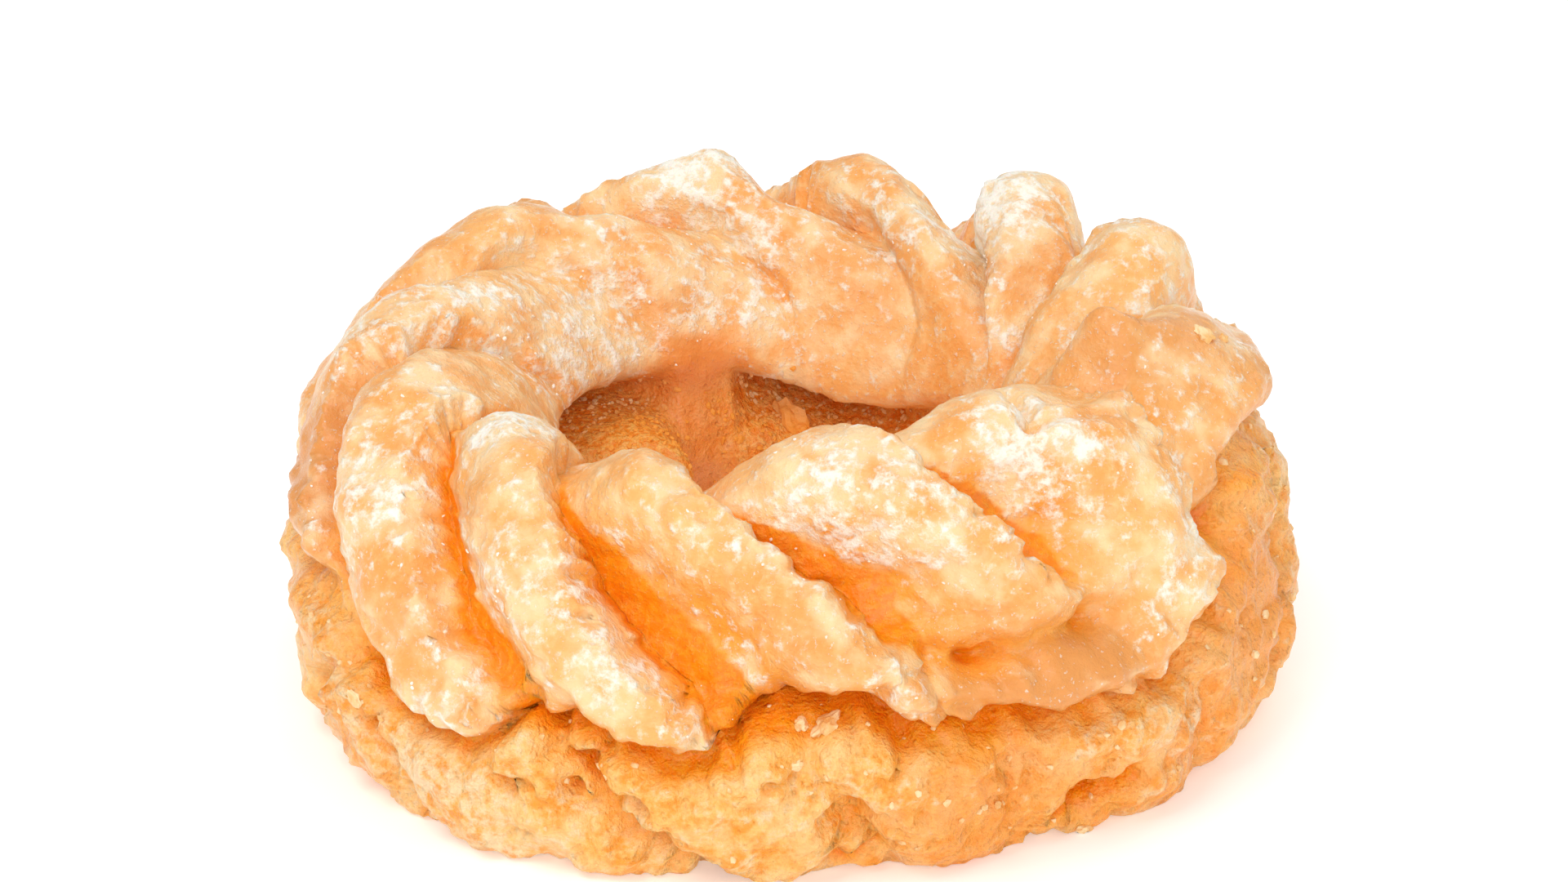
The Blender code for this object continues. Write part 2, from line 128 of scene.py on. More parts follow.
# Forms beside that crease: height mm, then place and width in half widths of the crease
TIER_LIP = (1.1, 1.7, 0.8)
TIER_SHOULDER = (0.5, -2.2, 1.0)

# Droop of its lip as a share of the depth, and the droop's place and width
TIER_DROOP = 0.20
TIER_DROOP_AT = (1.15, 0.6)

# Tabs that hang from the lower edge of the swirls: ring angle, drop degrees, half width degrees
TABS = (
    (-26.6, 6.0, 1.4), (14.0, 2.0, 2.4), (31.0, 2.5, 2.5), (46.0, 3.0, 1.6), (57.0, 4.0, 1.8),
    (-36.0, 2.5, 1.8),
)

# Degrees by which the lower end of a swirl rounds upwards at its right edge
TIP_LIFT = 2.5

# Crease inside the hole between the swirl ends and the lower tier: ring angle, tube angle,
# depth mm
INNER_TIER = (
    (-180, 171, 7.0), (-174, 169, 6.5), (-170, 169, 4.0), (-167, 170, 1.0), (-158, 172, 0.3),
    (-152, 171, 1.0), (-148, 168, 3.5), (-144, 165, 6.0), (-135, 162, 7.0), (-122, 161, 7.0),
    (-108, 163, 5.0), (-92, 166, 2.8), (-60, 172, 2.2), (0, 176, 2.0), (60, 172, 2.2),
    (95, 168, 2.8), (130, 173, 3.4), (150, 178, 5.0), (165, 177, 7.0), (180, 171, 7.0),
)

# Its half width in degrees, and the forms beside it as above
INNER_HALF = 11.0
INNER_LIP = (0.8, -1.5, 0.8)
INNER_SWELL = (0.6, 2.3, 1.2)
INNER_DROOP = 0.30
INNER_DROOP_AT = (-1.1, 0.6)

# Shorter creases: depth mm, half width mm, then ring angle and tube angle of each point
CUTS = (
    (2.2, 1.5, ((-53, -2), (-60, -14), (-66, -30), (-63, -60))),
    (2.6, 1.4, ((-50, -20), (-46, -38), (-37, -62))),
    (1.0, 1.6, ((-49, -4), (-45, -24))),
    (4.2, 1.7, ((-24, -6), (-21, -20), (-16, -31), (-9, -48), (-4, -72))),
    (2.0, 1.6, ((1, -3), (4, -14), (8, -28), (13, -50))),
    (2.2, 1.7, ((8, -28), (11, -38))),
    (2.2, 1.6, ((24, -6), (27, -28), (32, -58))),
    (4.4, 1.3, ((36.5, -37), (38.5, -35))),
    (1.4, 1.4, ((48, 2), (52, -14), (55, -42))),
    (2.4, 1.5, ((79, 22), (77, 4), (70, -28), (62, -52))),
    (2.2, 1.6, ((57, 27), (64, 24))),
    (2.0, 1.0, ((17, 19), (20, 17), (24, 15.5))),
    (3.2, 1.3, ((22, 15), (30, 17.5), (36, 19.5))),
    (1.6, 1.4, ((36, 19.5), (44, 24))),
    (2.6, 1.3, ((44, 112), (41, 98), (38.5, 86))),
    (1.3, 1.5, ((38.5, 85), (50, 76), (57, 66))),
    (2.2, 1.6, ((94, 20), (99, -10), (106, -50))),
    (2.6, 1.7, ((116, 4), (122, -24), (130, -64))),
    (2.2, 1.6, ((140, 2), (147, -28), (153, -60))),
    (2.8, 1.7, ((163, 0), (168, -22), (178, -64))),
    (2.2, 1.6, ((187, 0), (193, -28), (200, -58))),
    (2.6, 1.7, ((210, 0), (217, -26), (225, -66))),
    (2.2, 1.6, ((234, 0), (239, -24), (247, -58))),
    (2.4, 1.6, ((257, 0), (263, -26), (272, -64))),
    (1.6, 1.8, ((-34, -76), (-26, -104), (-20, -130))),
    (1.6, 1.8, ((20, -76), (27, -104), (34, -130))),
    (1.6, 1.8, ((72, -76), (80, -104), (88, -130))),
    (1.6, 1.8, ((126, -76), (133, -104), (141, -130))),
    (1.6, 1.8, ((182, -76), (190, -104), (197, -130))),
    (1.6, 1.8, ((236, -76), (243, -104), (250, -130))),
)

# Knobs and lobes: ring angle, tube angle, height mm, radius mm
KNOBS = (
    (-141, 66, 3.9, 3.4), (-130, 84, 0.9, 3.6), (-155, 80, 0.9, 4.0), (-171, 77, 2.8, 3.3),
    (168, 76, 1.0, 3.4), (141, 78, 1.2, 3.4), (134, 74, 0.5, 3.0), (112, 78, 1.4, 4.0),
    (105, 64, 0.4, 4.4), (69.5, 99, 3.3, 2.3), (80, 103, -1.4, 3.0), (66, 110, 1.9, 2.6),
    (63, 119, 1.0, 2.6), (92, 98, -1.4, 5.0), (48, 98, -2.6, 3.8), (56, 94, -1.8, 4.2),
    (-131, 179, 4.6, 3.6), (-139, 177, 3.6, 2.8), (-123, 181, 3.6, 3.2), (82, 54, 1.6, 6.0),
    (70, 58, 1.0, 6.0), (66, 36, 1.0, 4.0), (50, 118, 1.2, 3.4), (34, 112, 1.0, 5.0),
    (13, 106, 1.3, 3.4), (-2, 98, 0.7, 3.2), (-19, 84, 1.3, 5.0), (-12.5, 67, 0.9, 1.3),
    (-24, 66, 0.5, 1.1), (-50, 94, 1.3, 4.0), (-72, 64, 1.2, 4.0), (-60, 42, 0.8, 5.0),
    (-87, 54, 0.7, 5.0), (-57, -14, 0.8, 4.0), (-36, -40, 0.9, 5.0), (-10, -18, 0.9, 6.0),
    (18, -30, 0.8, 5.0), (44, -22, 0.8, 6.0), (83, 20, 1.4, 6.0), (74, -12, 0.7, 5.0),
)

# Torn hollows and pinholes: ring angle, tube angle, depth mm, radius mm
PITS = (
    (-30.0, -24, 1.8, 1.3), (-28.5, -37, 1.1, 0.9), (-21.5, -15, 1.8, 1.3), (-49.5, -20, 1.2, 0.9),
    (0.5, -13, 1.1, 1.1), (12.0, -12, 1.2, 1.0), (7.0, -49, 2.6, 2.0), (15.0, -30, 0.9, 1.0),
    (22.0, -34, 1.0, 1.6), (35.5, -38, 3.0, 2.2), (41.0, -35, 1.8, 1.5), (60.0, 16, 1.2, 1.1),
    (63.5, 2, 1.2, 1.2), (22.0, 16, 0.8, 1.0), (-9.5, 66, 0.7, 0.35), (72.0, -20, 1.4, 1.6),
    (95.0, -14, 1.6, 1.6), (118.0, 30, 1.2, 1.2), (140.0, -20, 1.8, 1.8), (171.0, -8, 1.6, 1.6),
    (206.0, -26, 1.8, 1.8), (232.0, 24, 1.2, 1.2), (262.0, -22, 1.6, 1.6),
)

# Crumbs that cling to it: ring angle, tube angle, width, length and height mm
CRUMBS = (
    (77.0, 72, 1.5, 1.8, 0.8), (79.0, 66, 0.8, 1.0, 0.6), (177.5, 182, 2.4, 4.4, 2.4),
    (173.5, 186, 1.5, 2.0, 1.6), (5.0, 1, 2.8, 1.6, 1.1), (2.5, -1, 1.5, 1.1, 0.8),
    (1.5, -10, 1.3, 1.1, 0.5), (-51.0, -14, 1.2, 1.5, 0.5), (18.0, -62, 2.4, 1.6, 1.4),
    (38.0, -52, 1.8, 1.4, 1.2), (104.0, 50, 1.3, 1.6, 0.7), (150.0, -30, 1.8, 1.4, 0.8),
    (196.0, 30, 1.2, 1.5, 0.6), (238.0, -36, 2.0, 1.4, 0.8),
)

# White, crystallised glaze, with some spots that are painted gloss highlights: ring angle, tube
# angle, strength, radius mm
FROST_AND_GLOSS = (
    (-56, 47, 1.4, 4.6), (-57, 18, 0.7, 3.0), (-70, 60, 0.6, 4.5), (-66, 88, 0.5, 4.0),
    (-118, 148, 0.6, 6.0), (-134, 142, 0.5, 5.0), (-150, 146, 0.6, 6.0), (-172, 146, 0.7, 6.0),
    (-142, 108, 0.5, 5.0), (-108, 96, 0.5, 4.0), (-92, 62, 0.7, 6.0), (-100, 120, 0.35, 5.0),
    (-163, 80, 1.8, 3.8), (-172, 78, 1.8, 4.2), (178, 118, 0.7, 6.0), (155, 116, 0.6, 3.4),
    (119, 138, 0.8, 3.0), (141, 96, 1.5, 4.6), (135, 108, 1.2, 4.4), (128, 124, 0.6, 4.0),
    (112, 90, 0.3, 4.0), (86, 106, 1.1, 2.6), (72, 76, 0.2, 6.0), (84, 50, 0.6, 3.4),
    (33, 84, 0.9, 4.6), (38, 72, 0.9, 5.0), (41, 62, 0.7, 5.0), (46, 78, 0.5, 5.0),
    (31, 58, 0.5, 3.5), (79, 105, 1.0, 2.4), (66, 68, 0.5, 5.0), (96, 84, 0.5, 6.0),
    (-128, 122, 0.4, 5.0), (-112, 124, 0.4, 5.0), (-150, 122, 0.4, 5.0), (-166, 114, 0.5, 5.0),
    (-96, 88, 0.5, 5.0), (160, 100, 0.5, 5.0), (0, 66, 0.5, 4.0), (19, 38, 0.5, 4.0),
    (43, 106, 1.4, 1.8), (7, 82, 0.9, 6.0), (13, 56, 0.8, 5.5), (-3, 54, 0.4, 4.0),
    (-5, 24, 0.8, 3.0), (12, 13, 0.9, 3.0), (-47, 93, 2.0, 3.2), (-42, 42, 0.9, 3.4),
    (-36, 38, 0.7, 3.4), (-33, 28, 0.6, 3.0), (-26, 44, 0.6, 3.0), (-19, 22, 0.7, 3.6),
    (-8, 7, 0.9, 2.4), (25, 13, 0.5, 3.0), (-31, -44, 0.6, 4.0), (-21, -3, 0.8, 2.4),
    (-39, -22, 1.3, 7.0), (-52, -26, 0.9, 5.0), (-62, -8, 0.7, 4.0), (-108, 140, 0.5, 5.0),
    (47, -14, 0.9, 4.5), (49, 22, 0.7, 3.5), (43, 12, 0.5, 3.0), (36, -12, 0.7, 3.5),
    (52, -30, 0.7, 5.0), (14, -16, 0.6, 4.0), (70, 12, 0.6, 4.0), (60, 50, 0.4, 3.0),
)

# Deeper, caramel coloured glaze and dough, partly its own tone and partly painted shade under
# overhangs: ring angle, tube angle, strength, radius mm
CARAMEL_AND_SHADE = (
    (22, 9, 0.9, 6.0), (32, 8, 0.9, 6.0), (38, 10, 0.5, 4.0), (-76, 44, 0.9, 6.0),
    (-82, 26, 0.9, 7.0), (-74, 14, 0.7, 6.0), (2, 22, 0.5, 5.0), (-44, 18, 0.5, 5.0),
    (-44, 62, 0.45, 5.0), (70, 84, 0.4, 7.0), (18, -22, 0.4, 6.0), (75, 88, 0.4, 6.0),
    (60, 92, 0.4, 5.0), (160, 128, 0.4, 5.0), (128, 118, 0.6, 5.0), (-150, 148, 0.5, 5.0),
    (60, 30, 0.5, 6.0), (28, -31, 0.5, 6.0), (38, -37, 1.0, 3.2), (64, 6, 0.9, 7.0),
    (72, -10, 0.9, 8.0), (52, -22, 0.5, 6.0), (82, 48, 0.4, 6.0), (110, 20, 0.6, 8.0),
    (-120, 40, 0.5, 9.0), (170, 40, 0.6, 9.0), (-150, 30, 0.6, 9.0), (52, -40, 0.6, 7.0),
    (20, -45, 0.5, 7.0), (-58, -30, 0.5, 7.0),
)

# Big and small unevenness: size of a lump mm, height mm on the swirls and below them
LUMPS = ((11.0, 0.75, 0.75), (5.0, 0.55, 0.80), (2.6, 0.26, 0.60), (1.3, 0.10, 0.36))
LUMP_SEED = Vector((3.7, 11.2, 5.9))

# Random wandering: size of a wave mm, reach, seed.  The swirls' side edges in mm, their lower
# edge in degrees, and the hollows and short creases of the lower dough in mm
EDGE_JAG = ((1.9, 0.9, 3.0), (0.9, 0.45, 5.0))
LOWER_JAG = ((7.0, 5.0, 2.0), (2.0, 5.0, 4.0))
TEAR_ALONG = ((1.7, 1.8, 6.0),)
TEAR_UP = ((1.7, 1.8, 7.0),)

# Slow drift of the creases: number that sets each random draw apart, then length of a wave and
# reach in degrees
CREASE_DRIFT = ((0, 16.0, 1.3), (40, 5.5, 0.9), (80, 2.6, 0.5))

# Length of one degree round the ring and round the tube at the outer side, mm
RING_MM = 0.72
TUBE_MM = 0.26

# Rounder values of the same, with which the mesh point nearest to a crumb is found
NEAR_RING_MM = 0.7
NEAR_TUBE_MM = 0.25

# Section of a swirl: share of its width over which its left flank climbs out of the crease, and
# start and width of its right flank in mm from the crease there
RISE = 0.60
FLANK_START = 0.2
FLANK_WIDTH = 1.9

# Forms at the right edge of a swirl: strength, then place and width in mm from the crease
OVERHANG = (1.0, 1.7, 1.5)
TORN_EDGE = (1.0, 2.2, 1.1)
ROUND_TIP = (1.0, 0.0, 2.6)

# Depth of a crease in mm at which its bare floor, the bare wall beside it, the torn edge and the
# round tip show in full
FLOOR_DEPTH = 4.2
WALL_DEPTH = 5.0
EDGE_DEPTH = 4.0
TIP_DEPTH = 3.0

# Tube angles at which the crown of a swirl starts and ends, and over which it fades in and out
CROWN_START = -6.0
CROWN_IN = 30.0
CROWN_END = 172.0
CROWN_OUT = 45.0

# How sharply a tier crease falls off, and how much of a short crease's depth is kept
CREASE_POWER = 2.2
CUT_SHARE = 0.8

# Tongue of pooled glaze on the hole's wall: ring angle, half width and tube angle of its end
POOL_RING = -156.0
POOL_HALF = 12.0
POOL_END = 232.0

# Degrees above the hole's crease at which its torn dough starts
CAVE_REACH = 9.0

# Fine grid of the crust, with more columns where a swirl is seen from close by, and how far they
# are pulled towards the creases
STRANDS = len(CREASES)
SWIRL_COLUMNS = (44, 56, 60, 64, 64, 60, 50, 44, 44, 44, 44, 44)
COLUMN_PULL = 0.06
ROW_COUNT = 160

# Tube angles of the rows, and the share of the rows that lie before each
ROW_ANGLES = (-90, -60, -35, 0, 60, 100, 150, 190, 225, 270)
ROW_SHARES = (0.0, 0.035, 0.10, 0.22, 0.51, 0.66, 0.80, 0.92, 0.965, 1.0)

# Grains of sugar lie on white glaze and painted gloss spots above this strength, and on torn edges by
# this share
GRAIN_FROST_AND_GLOSS = 0.35
GRAIN_EDGE = 0.3

# Height in mm above which crumbs lie on the lower dough
CRUMB_Z = 2.5

# Scattered bits: least and most stretch along their three sides, and about a full turn in radians
BIT_LEAST = (0.6, 0.6, 0.45)
BIT_MOST = (1.3, 1.2, 0.9)
BIT_TURN = 6.28

# Fine relief of the crust: size and height of each kind in metres
CRUST_SIZES = {
    "Crumb size": 0.0024, "Crumb height": 0.0010, "Crystal size": 0.0011, "Crystal height": 0.0003,
    "Edge size": 0.0016, "Edge height": 0.0016, "Glaze size": 0.0024, "Glaze height": 0.0006,
}

# Glaze, from clear to white
HONEY_DEEP = (0.94, 0.405, 0.10, 1.0)
HONEY = (0.965, 0.495, 0.16, 1.0)
# Paler honey, painted in random flecks as highlights
HONEY_PAINTED_HIGHLIGHT = (0.985, 0.67, 0.31, 1.0)
# Deeper honey, painted as shade in the creases
HONEY_PAINTED_SHADE = (0.93, 0.37, 0.030, 1.0)
# Deeper glaze in the listed spots, partly its own tone and partly painted shade
CARAMEL_AND_SHADE_GLAZE = (0.78, 0.32, 0.08, 1.0)
POOLED_GLAZE = (0.88, 0.295, 0.062, 1.0)
VEILED_GLAZE = (1.0, 0.76, 0.44, 1.0)
WHITE_GLAZE = (1.0, 0.945, 0.84, 1.0)
SUGAR_CREAM = (0.95, 0.80, 0.60, 1.0)
SUGAR_WHITE = (0.98, 0.93, 0.85, 1.0)

# Fried dough below the swirls
DOUGH_ORANGE = (0.95, 0.34, 0.028, 1.0)
DOUGH_GOLD = (0.98, 0.53, 0.14, 1.0)
DOUGH_PALE = (1.0, 0.65, 0.28, 1.0)
# Deeper dough in the same spots, partly its own tone and partly painted shade
DOUGH_CARAMEL_AND_SHADE = (0.90, 0.29, 0.03, 1.0)
DOUGH_DUSTED = (0.975, 0.78, 0.52, 1.0)

# Dough in the gaps between the swirls, with a darker amber for painted shade
GAP_DEEP = (0.93, 0.26, 0.001, 1.0)
GAP_AMBER = (0.97, 0.37, 0.006, 1.0)
GAP_PAINTED_SHADE = (0.84, 0.20, 0.0, 1.0)
GAP_SPECK = (0.96, 0.55, 0.12, 1.0)
GAP_RIM = (0.97, 0.43, 0.06, 1.0)

# Torn dough in the hole, and crumbs
HOLE_BROWN = (0.90, 0.25, 0.010, 1.0)
HOLE_GOLD = (0.97, 0.45, 0.09, 1.0)
CRUMB_BROWN = (0.86, 0.46, 0.14, 1.0)
CRUMB_GOLD = (0.96, 0.74, 0.42, 1.0)
CRUMB_IN_HOLE = (0.90, 0.36, 0.04, 1.0)

# Distances from the axis in metres up to which crumbs are as brown as the hole, and from which
# they are golden
HOLE_CRUMB_R = 0.019
OUTER_CRUMB_R = 0.023

# Camera: picture in pixels, film width in mm, degrees above the floor, metres to its aim, focal
# length and place of the ring's middle in those pixels, height of the aim in mm
PICTURE_PX = (1920.0, 1080.0)
FILM_MM = 36.0
CAMERA_ELEVATION = 25.2
CAMERA_DISTANCE = 0.420
CAMERA_FOCAL_PX = 5855.0
CAMERA_MIDDLE_PX = (957.0, 632.0)
CAMERA_AIM_Z = 14.4

# Soft lights: name, place m, side m, power W; the height they aim at; and the white room's light
LIGHTS = (
    ("key", (-0.62, -0.60, 1.60), 0.9, 11.6),
    ("fill", (1.30, -0.90, 0.70), 1.2, 2.1),
    ("front", (0.0, -1.80, 0.92), 1.0, 12.2),
    ("back", (0.50, 1.00, 1.24), 1.2, 6.4),
)
LIGHT_AIM_Z = 0.015
ROOM_LIGHT = 0.50

# Floor: half side and height in metres, a hair below the dough, and its own glow
FLOOR_HALF = 1.5
FLOOR_Z = -0.0001
FLOOR_GLOW = 0.25


def smooth(value):
    """Step from 0 to 1 with soft ends."""
    t = np.clip(value, 0.0, 1.0)
    return t * t * (3.0 - 2.0 * t)


def hump(value, height, place, width):
    """Soft hump of a height and width round a place."""
    return height * np.exp(-((value - place) / width) ** 2)


def half_turn(angle):
    """The same angle between -180 and 180."""
    return (angle + 180.0) % 360.0 - 180.0


def around(table, column, theta):
    """One column of a table of ring angles, read at the angles given."""
    angles = np.array([row[0] for row in table], float)
    values = np.array([row[column] for row in table], float)
    return np.interp(half_turn(theta), angles, values)


def wobble(index, phi, size, height):
    """Slow random sideways drift of one crease along its length."""
    flat = np.asarray(phi, float).reshape(-1)
    drift = [height * noise.noise(Vector((p / size, 7.3 * index, 1.7))) for p in flat]
    return np.array(drift).reshape(np.shape(phi))


def crease_line(index, phi):
    """Ring angle, depth and floor width of one crease at the tube angles given."""
    knots = sorted(CREASES[index][2])
    first = knots[0]
    last = knots[-1]
    outer = first[1] + 4.0
    under = 0.7 * outer + 0.3 * last[1]
    tube = [-90.0, -35.0] + [k[0] for k in knots] + [190.0, 270.0]
    ring = [under, outer] + [k[1] for k in knots] + [last[1], under]
    deep = [0.0, 0.4 * first[2]] + [k[2] for k in knots] + [0.0, 0.0]
    wide = [0.3, 0.3] + [k[3] for k in knots] + [0.3, 0.3]
    line = np.interp(phi, tube, ring)
    seen = smooth((phi + 80.0) / 60.0) * smooth((200.0 - phi) / 40.0)
    for apart, size, reach in CREASE_DRIFT:
        line = line + seen * wobble(index + apart, phi, size, reach)
    return line, np.interp(phi, tube, deep), np.interp(phi, tube, wide)


def section(theta, phi):
    """Point of the base ring, mm."""
    ring = np.radians(theta)
    tube = np.radians(phi)
    cos = np.cos(tube)
    sin = np.sin(tube)
    low = np.clip(-sin, 0.0, 1.0) ** 0.5
    floor_power = np.where(cos > 0.0, SECTION_LOW_OUT, SECTION_LOW_IN)
    power = SECTION_TOP + (floor_power - SECTION_TOP) * low
    size = (np.abs(cos) ** power + np.abs(sin) ** power) ** (-1.0 / power)
    upper = smooth((sin + 0.25) / 0.5)
    change = around(ROUND, 2, theta) * upper + around(ROUND, 3, theta) * (1.0 - upper)
    width = np.where(cos > 0.0, TUBE_OUT + change, TUBE_IN)
    rho = RING_R + size * cos * width
    height = np.where(sin > 0.0, TOP_H + around(ROUND, 1, theta), MID_Z)
    z = MID_Z + size * sin * height
    return np.stack((rho * np.sin(ring), -rho * np.cos(ring), z), -1)


def frame_at(theta, phi):
    """Base point with its outward, round-the-ring and round-the-tube directions."""
    step = 0.5
    here = section(theta, phi)
    along = section(theta + step, phi) - section(theta - step, phi)
    up = section(theta, phi + step) - section(theta, phi - step)
    along /= np.linalg.norm(along, axis=-1, keepdims=True)
    up /= np.linalg.norm(up, axis=-1, keepdims=True)
    out = np.cross(along, up)
    out /= np.linalg.norm(out, axis=-1, keepdims=True)
    return here, out, along, up


def wander(points, waves):
    """Random values at points, as the sum of waves of size, reach and seed."""
    total = np.zeros(points.shape[:-1])
    for size, reach, seed in waves:
        shift = LUMP_SEED * seed
        level = [noise.noise(Vector(point) / size + shift) for point in points.reshape(-1, 3)]
        total += reach * np.array(level).reshape(total.shape)
    return total


def swirl_relief(strand, across, phi, left, right, jag):
    """Height above the base, sideways lean, bare floor, edge and tip share of one swirl."""
    left_ring, left_deep, left_wide = left
    right_ring, right_deep, _ = right
    width = (right_ring - left_ring) * np.pi / 180.0 * RING_R
    from_left = across * width + 0.6 * jag
    from_right = np.maximum((1.0 - across) * width + jag, 0.0)
    rise_left = smooth((from_left - left_wide) / (RISE * width)) ** 0.85
    rise_right = smooth((from_right - FLANK_START) / FLANK_WIDTH) ** 0.7
    _, crown, place = CROWNS[strand]
    dome = np.where(across < place, across / place, (1.0 - across) / (1.0 - place))
    dome = crown * np.sin(0.5 * np.pi * dome)
    dome = dome * smooth((phi - CROWN_START) / CROWN_IN) * smooth((CROWN_END - phi) / CROWN_OUT)
    height = dome - left_deep * (1.0 - rise_left) - right_deep * (1.0 - rise_right)
    hang = CREASES[(strand + 1) % STRANDS][1]
    lean = hang * right_deep * hump(from_right, *OVERHANG)
    floor = 1.0 - smooth((from_left - 0.75 * left_wide) / (0.8 + 0.4 * left_wide))
    wall = 1.0 - smooth((from_right - 0.1) / 1.1)
    bare = np.maximum(smooth(left_deep / FLOOR_DEPTH) * floor, smooth(right_deep / WALL_DEPTH) * wall)
    edge = smooth(right_deep / EDGE_DEPTH) * hump(from_right, *TORN_EDGE)
    tip = smooth(right_deep / TIP_DEPTH) * hump(from_right, *ROUND_TIP)
    return height, lean, bare, edge, tip


def tier_relief(theta, phi, middle):
    """Height of the tier creases and their lips, how far these hang, and the bare share."""
    depth = around(TIER, 2, theta)
    away = (phi - middle) / around(TIER, 3, theta)
    height = hump(away, *TIER_LIP) - depth * np.exp(-np.abs(away) ** CREASE_POWER)
    height = height + hump(away, *TIER_SHOULDER)
    inner_depth = around(INNER_TIER, 2, theta)
    inner = (phi - around(INNER_TIER, 1, theta)) / INNER_HALF
    fall = np.exp(-np.clip(inner, 0.0, 9.0) ** CREASE_POWER)
    height = height - inner_depth * (smooth((inner + 1.25) / 0.6) * fall)
    height = height + hump(inner, *INNER_LIP) + hump(inner, *INNER_SWELL)
    droop = hump(inner, INNER_DROOP * inner_depth, *INNER_DROOP_AT)
    droop = droop - hump(away, TIER_DROOP * depth, *TIER_DROOP_AT)
    bare = smooth((depth - 0.6) / 3.6) * np.exp(-np.abs(away + 0.25) ** CREASE_POWER)
    return height, droop, bare


def cut_relief(theta, phi):
    """Depth of the shorter creases, mm."""
    total = np.zeros_like(theta)
    for depth, half, points in CUTS:
        best = np.full_like(theta, 1e9)
        for (t0, p0), (t1, p1) in zip(points[:-1], points[1:]):
            dt = half_turn(theta - 0.5 * (t0 + t1)) * RING_MM
            dp = half_turn(phi - 0.5 * (p0 + p1)) * TUBE_MM
            vt = (t1 - t0) * RING_MM
            vp = (p1 - p0) * TUBE_MM
            part = np.clip((dt * vt + dp * vp) / (vt * vt + vp * vp), -0.5, 0.5)
            gap = np.hypot(dt - part * vt, dp - part * vp)
            best = np.minimum(best, gap)
        total -= hump(best, depth, 0.0, half)
    return total


def spots(points, table):
    """Sum of soft round spots from a table of ring angle, tube angle, strength and radius."""
    total = np.zeros(points.shape[:-1])
    for ring, tube, strength, radius in table:
        centre = section(np.array(float(ring)), np.array(float(tube)))
        gap = np.linalg.norm(points - centre, axis=-1)
        total += hump(gap, strength, 0.0, radius)
    return total


def lump_relief(points, below):
    """Unevenness of the fried dough in mm, rougher below the swirls."""
    total = np.zeros(points.shape[:-1])
    for size, height, rough_height in LUMPS:
        total += wander(points, ((size, 1.0, 1.0),)) * (height + below * (rough_height - height))
    return total


def row_angles():
    """Tube angles of the grid rows, closer together where the crust is seen."""
    steps = np.linspace(0.0, 1.0, ROW_COUNT, endpoint=False)
    return np.interp(steps, ROW_SHARES, ROW_ANGLES)


def swirl_strips(rows):
    """Ring angle and relief of all the swirls side by side on the rows given."""
    parts = []
    for strand in range(STRANDS):
        ease = np.linspace(0.0, 1.0, SWIRL_COLUMNS[strand], endpoint=False)
        across = (ease - COLUMN_PULL * np.sin(2.0 * np.pi * ease))[None, :]
        left = crease_line(strand, rows)
        right = crease_line((strand + 1) % STRANDS, rows)
        if strand + 1 == STRANDS:
            right = (right[0] + 360.0, right[1], right[2])
        theta = left[0] + across * (right[0] - left[0])
        jag = wander(section(theta, np.broadcast_to(rows, theta.shape)), EDGE_JAG)
        parts.append((theta,) + swirl_relief(strand, across, rows, left, right, jag))
    return [np.concatenate(part, 1) for part in zip(*parts)]


def paint_masks(theta, phi, here, above, height, bare, edge):
    """Where glaze, bare dough, crystals and painted gloss, deeper tone and painted shade, and the
    hole's torn dough lie on the crust, and how deep it sinks, for painted shade.
    """
    pool = np.exp(-np.abs((half_turn(theta) - POOL_RING) / POOL_HALF) ** 3)
    pool = pool * smooth((POOL_END - phi) / 20.0)
    cave = around(INNER_TIER, 1, theta) - CAVE_REACH
    inside = smooth((phi - cave) / CAVE_REACH) * smooth((250.0 - phi) / 20.0)
    return {
        "bare": np.clip(bare, 0.0, 1.0),
        # How deep the crust sinks below the base ring, for painted shade in the creases and gaps
        "low": np.clip(-height / 5.0, 0.0, 1.0),
        "upper": above * smooth((cave + 5.0 - phi) / 12.0),
        # White crystals, and spots that are painted gloss highlights
        "frost_and_gloss": np.clip(spots(here, FROST_AND_GLOSS), 0.0, 1.6),
        "edge": edge * above,
        "inside": inside * (1.0 - 0.95 * pool),
        "pooled": pool * smooth((phi - 146.0) / 8.0),
        # Deeper tone, partly its own and partly painted shade under overhangs
        "caramel_and_shade": np.clip(spots(here, CARAMEL_AND_SHADE), 0.0, 1.0),
    }


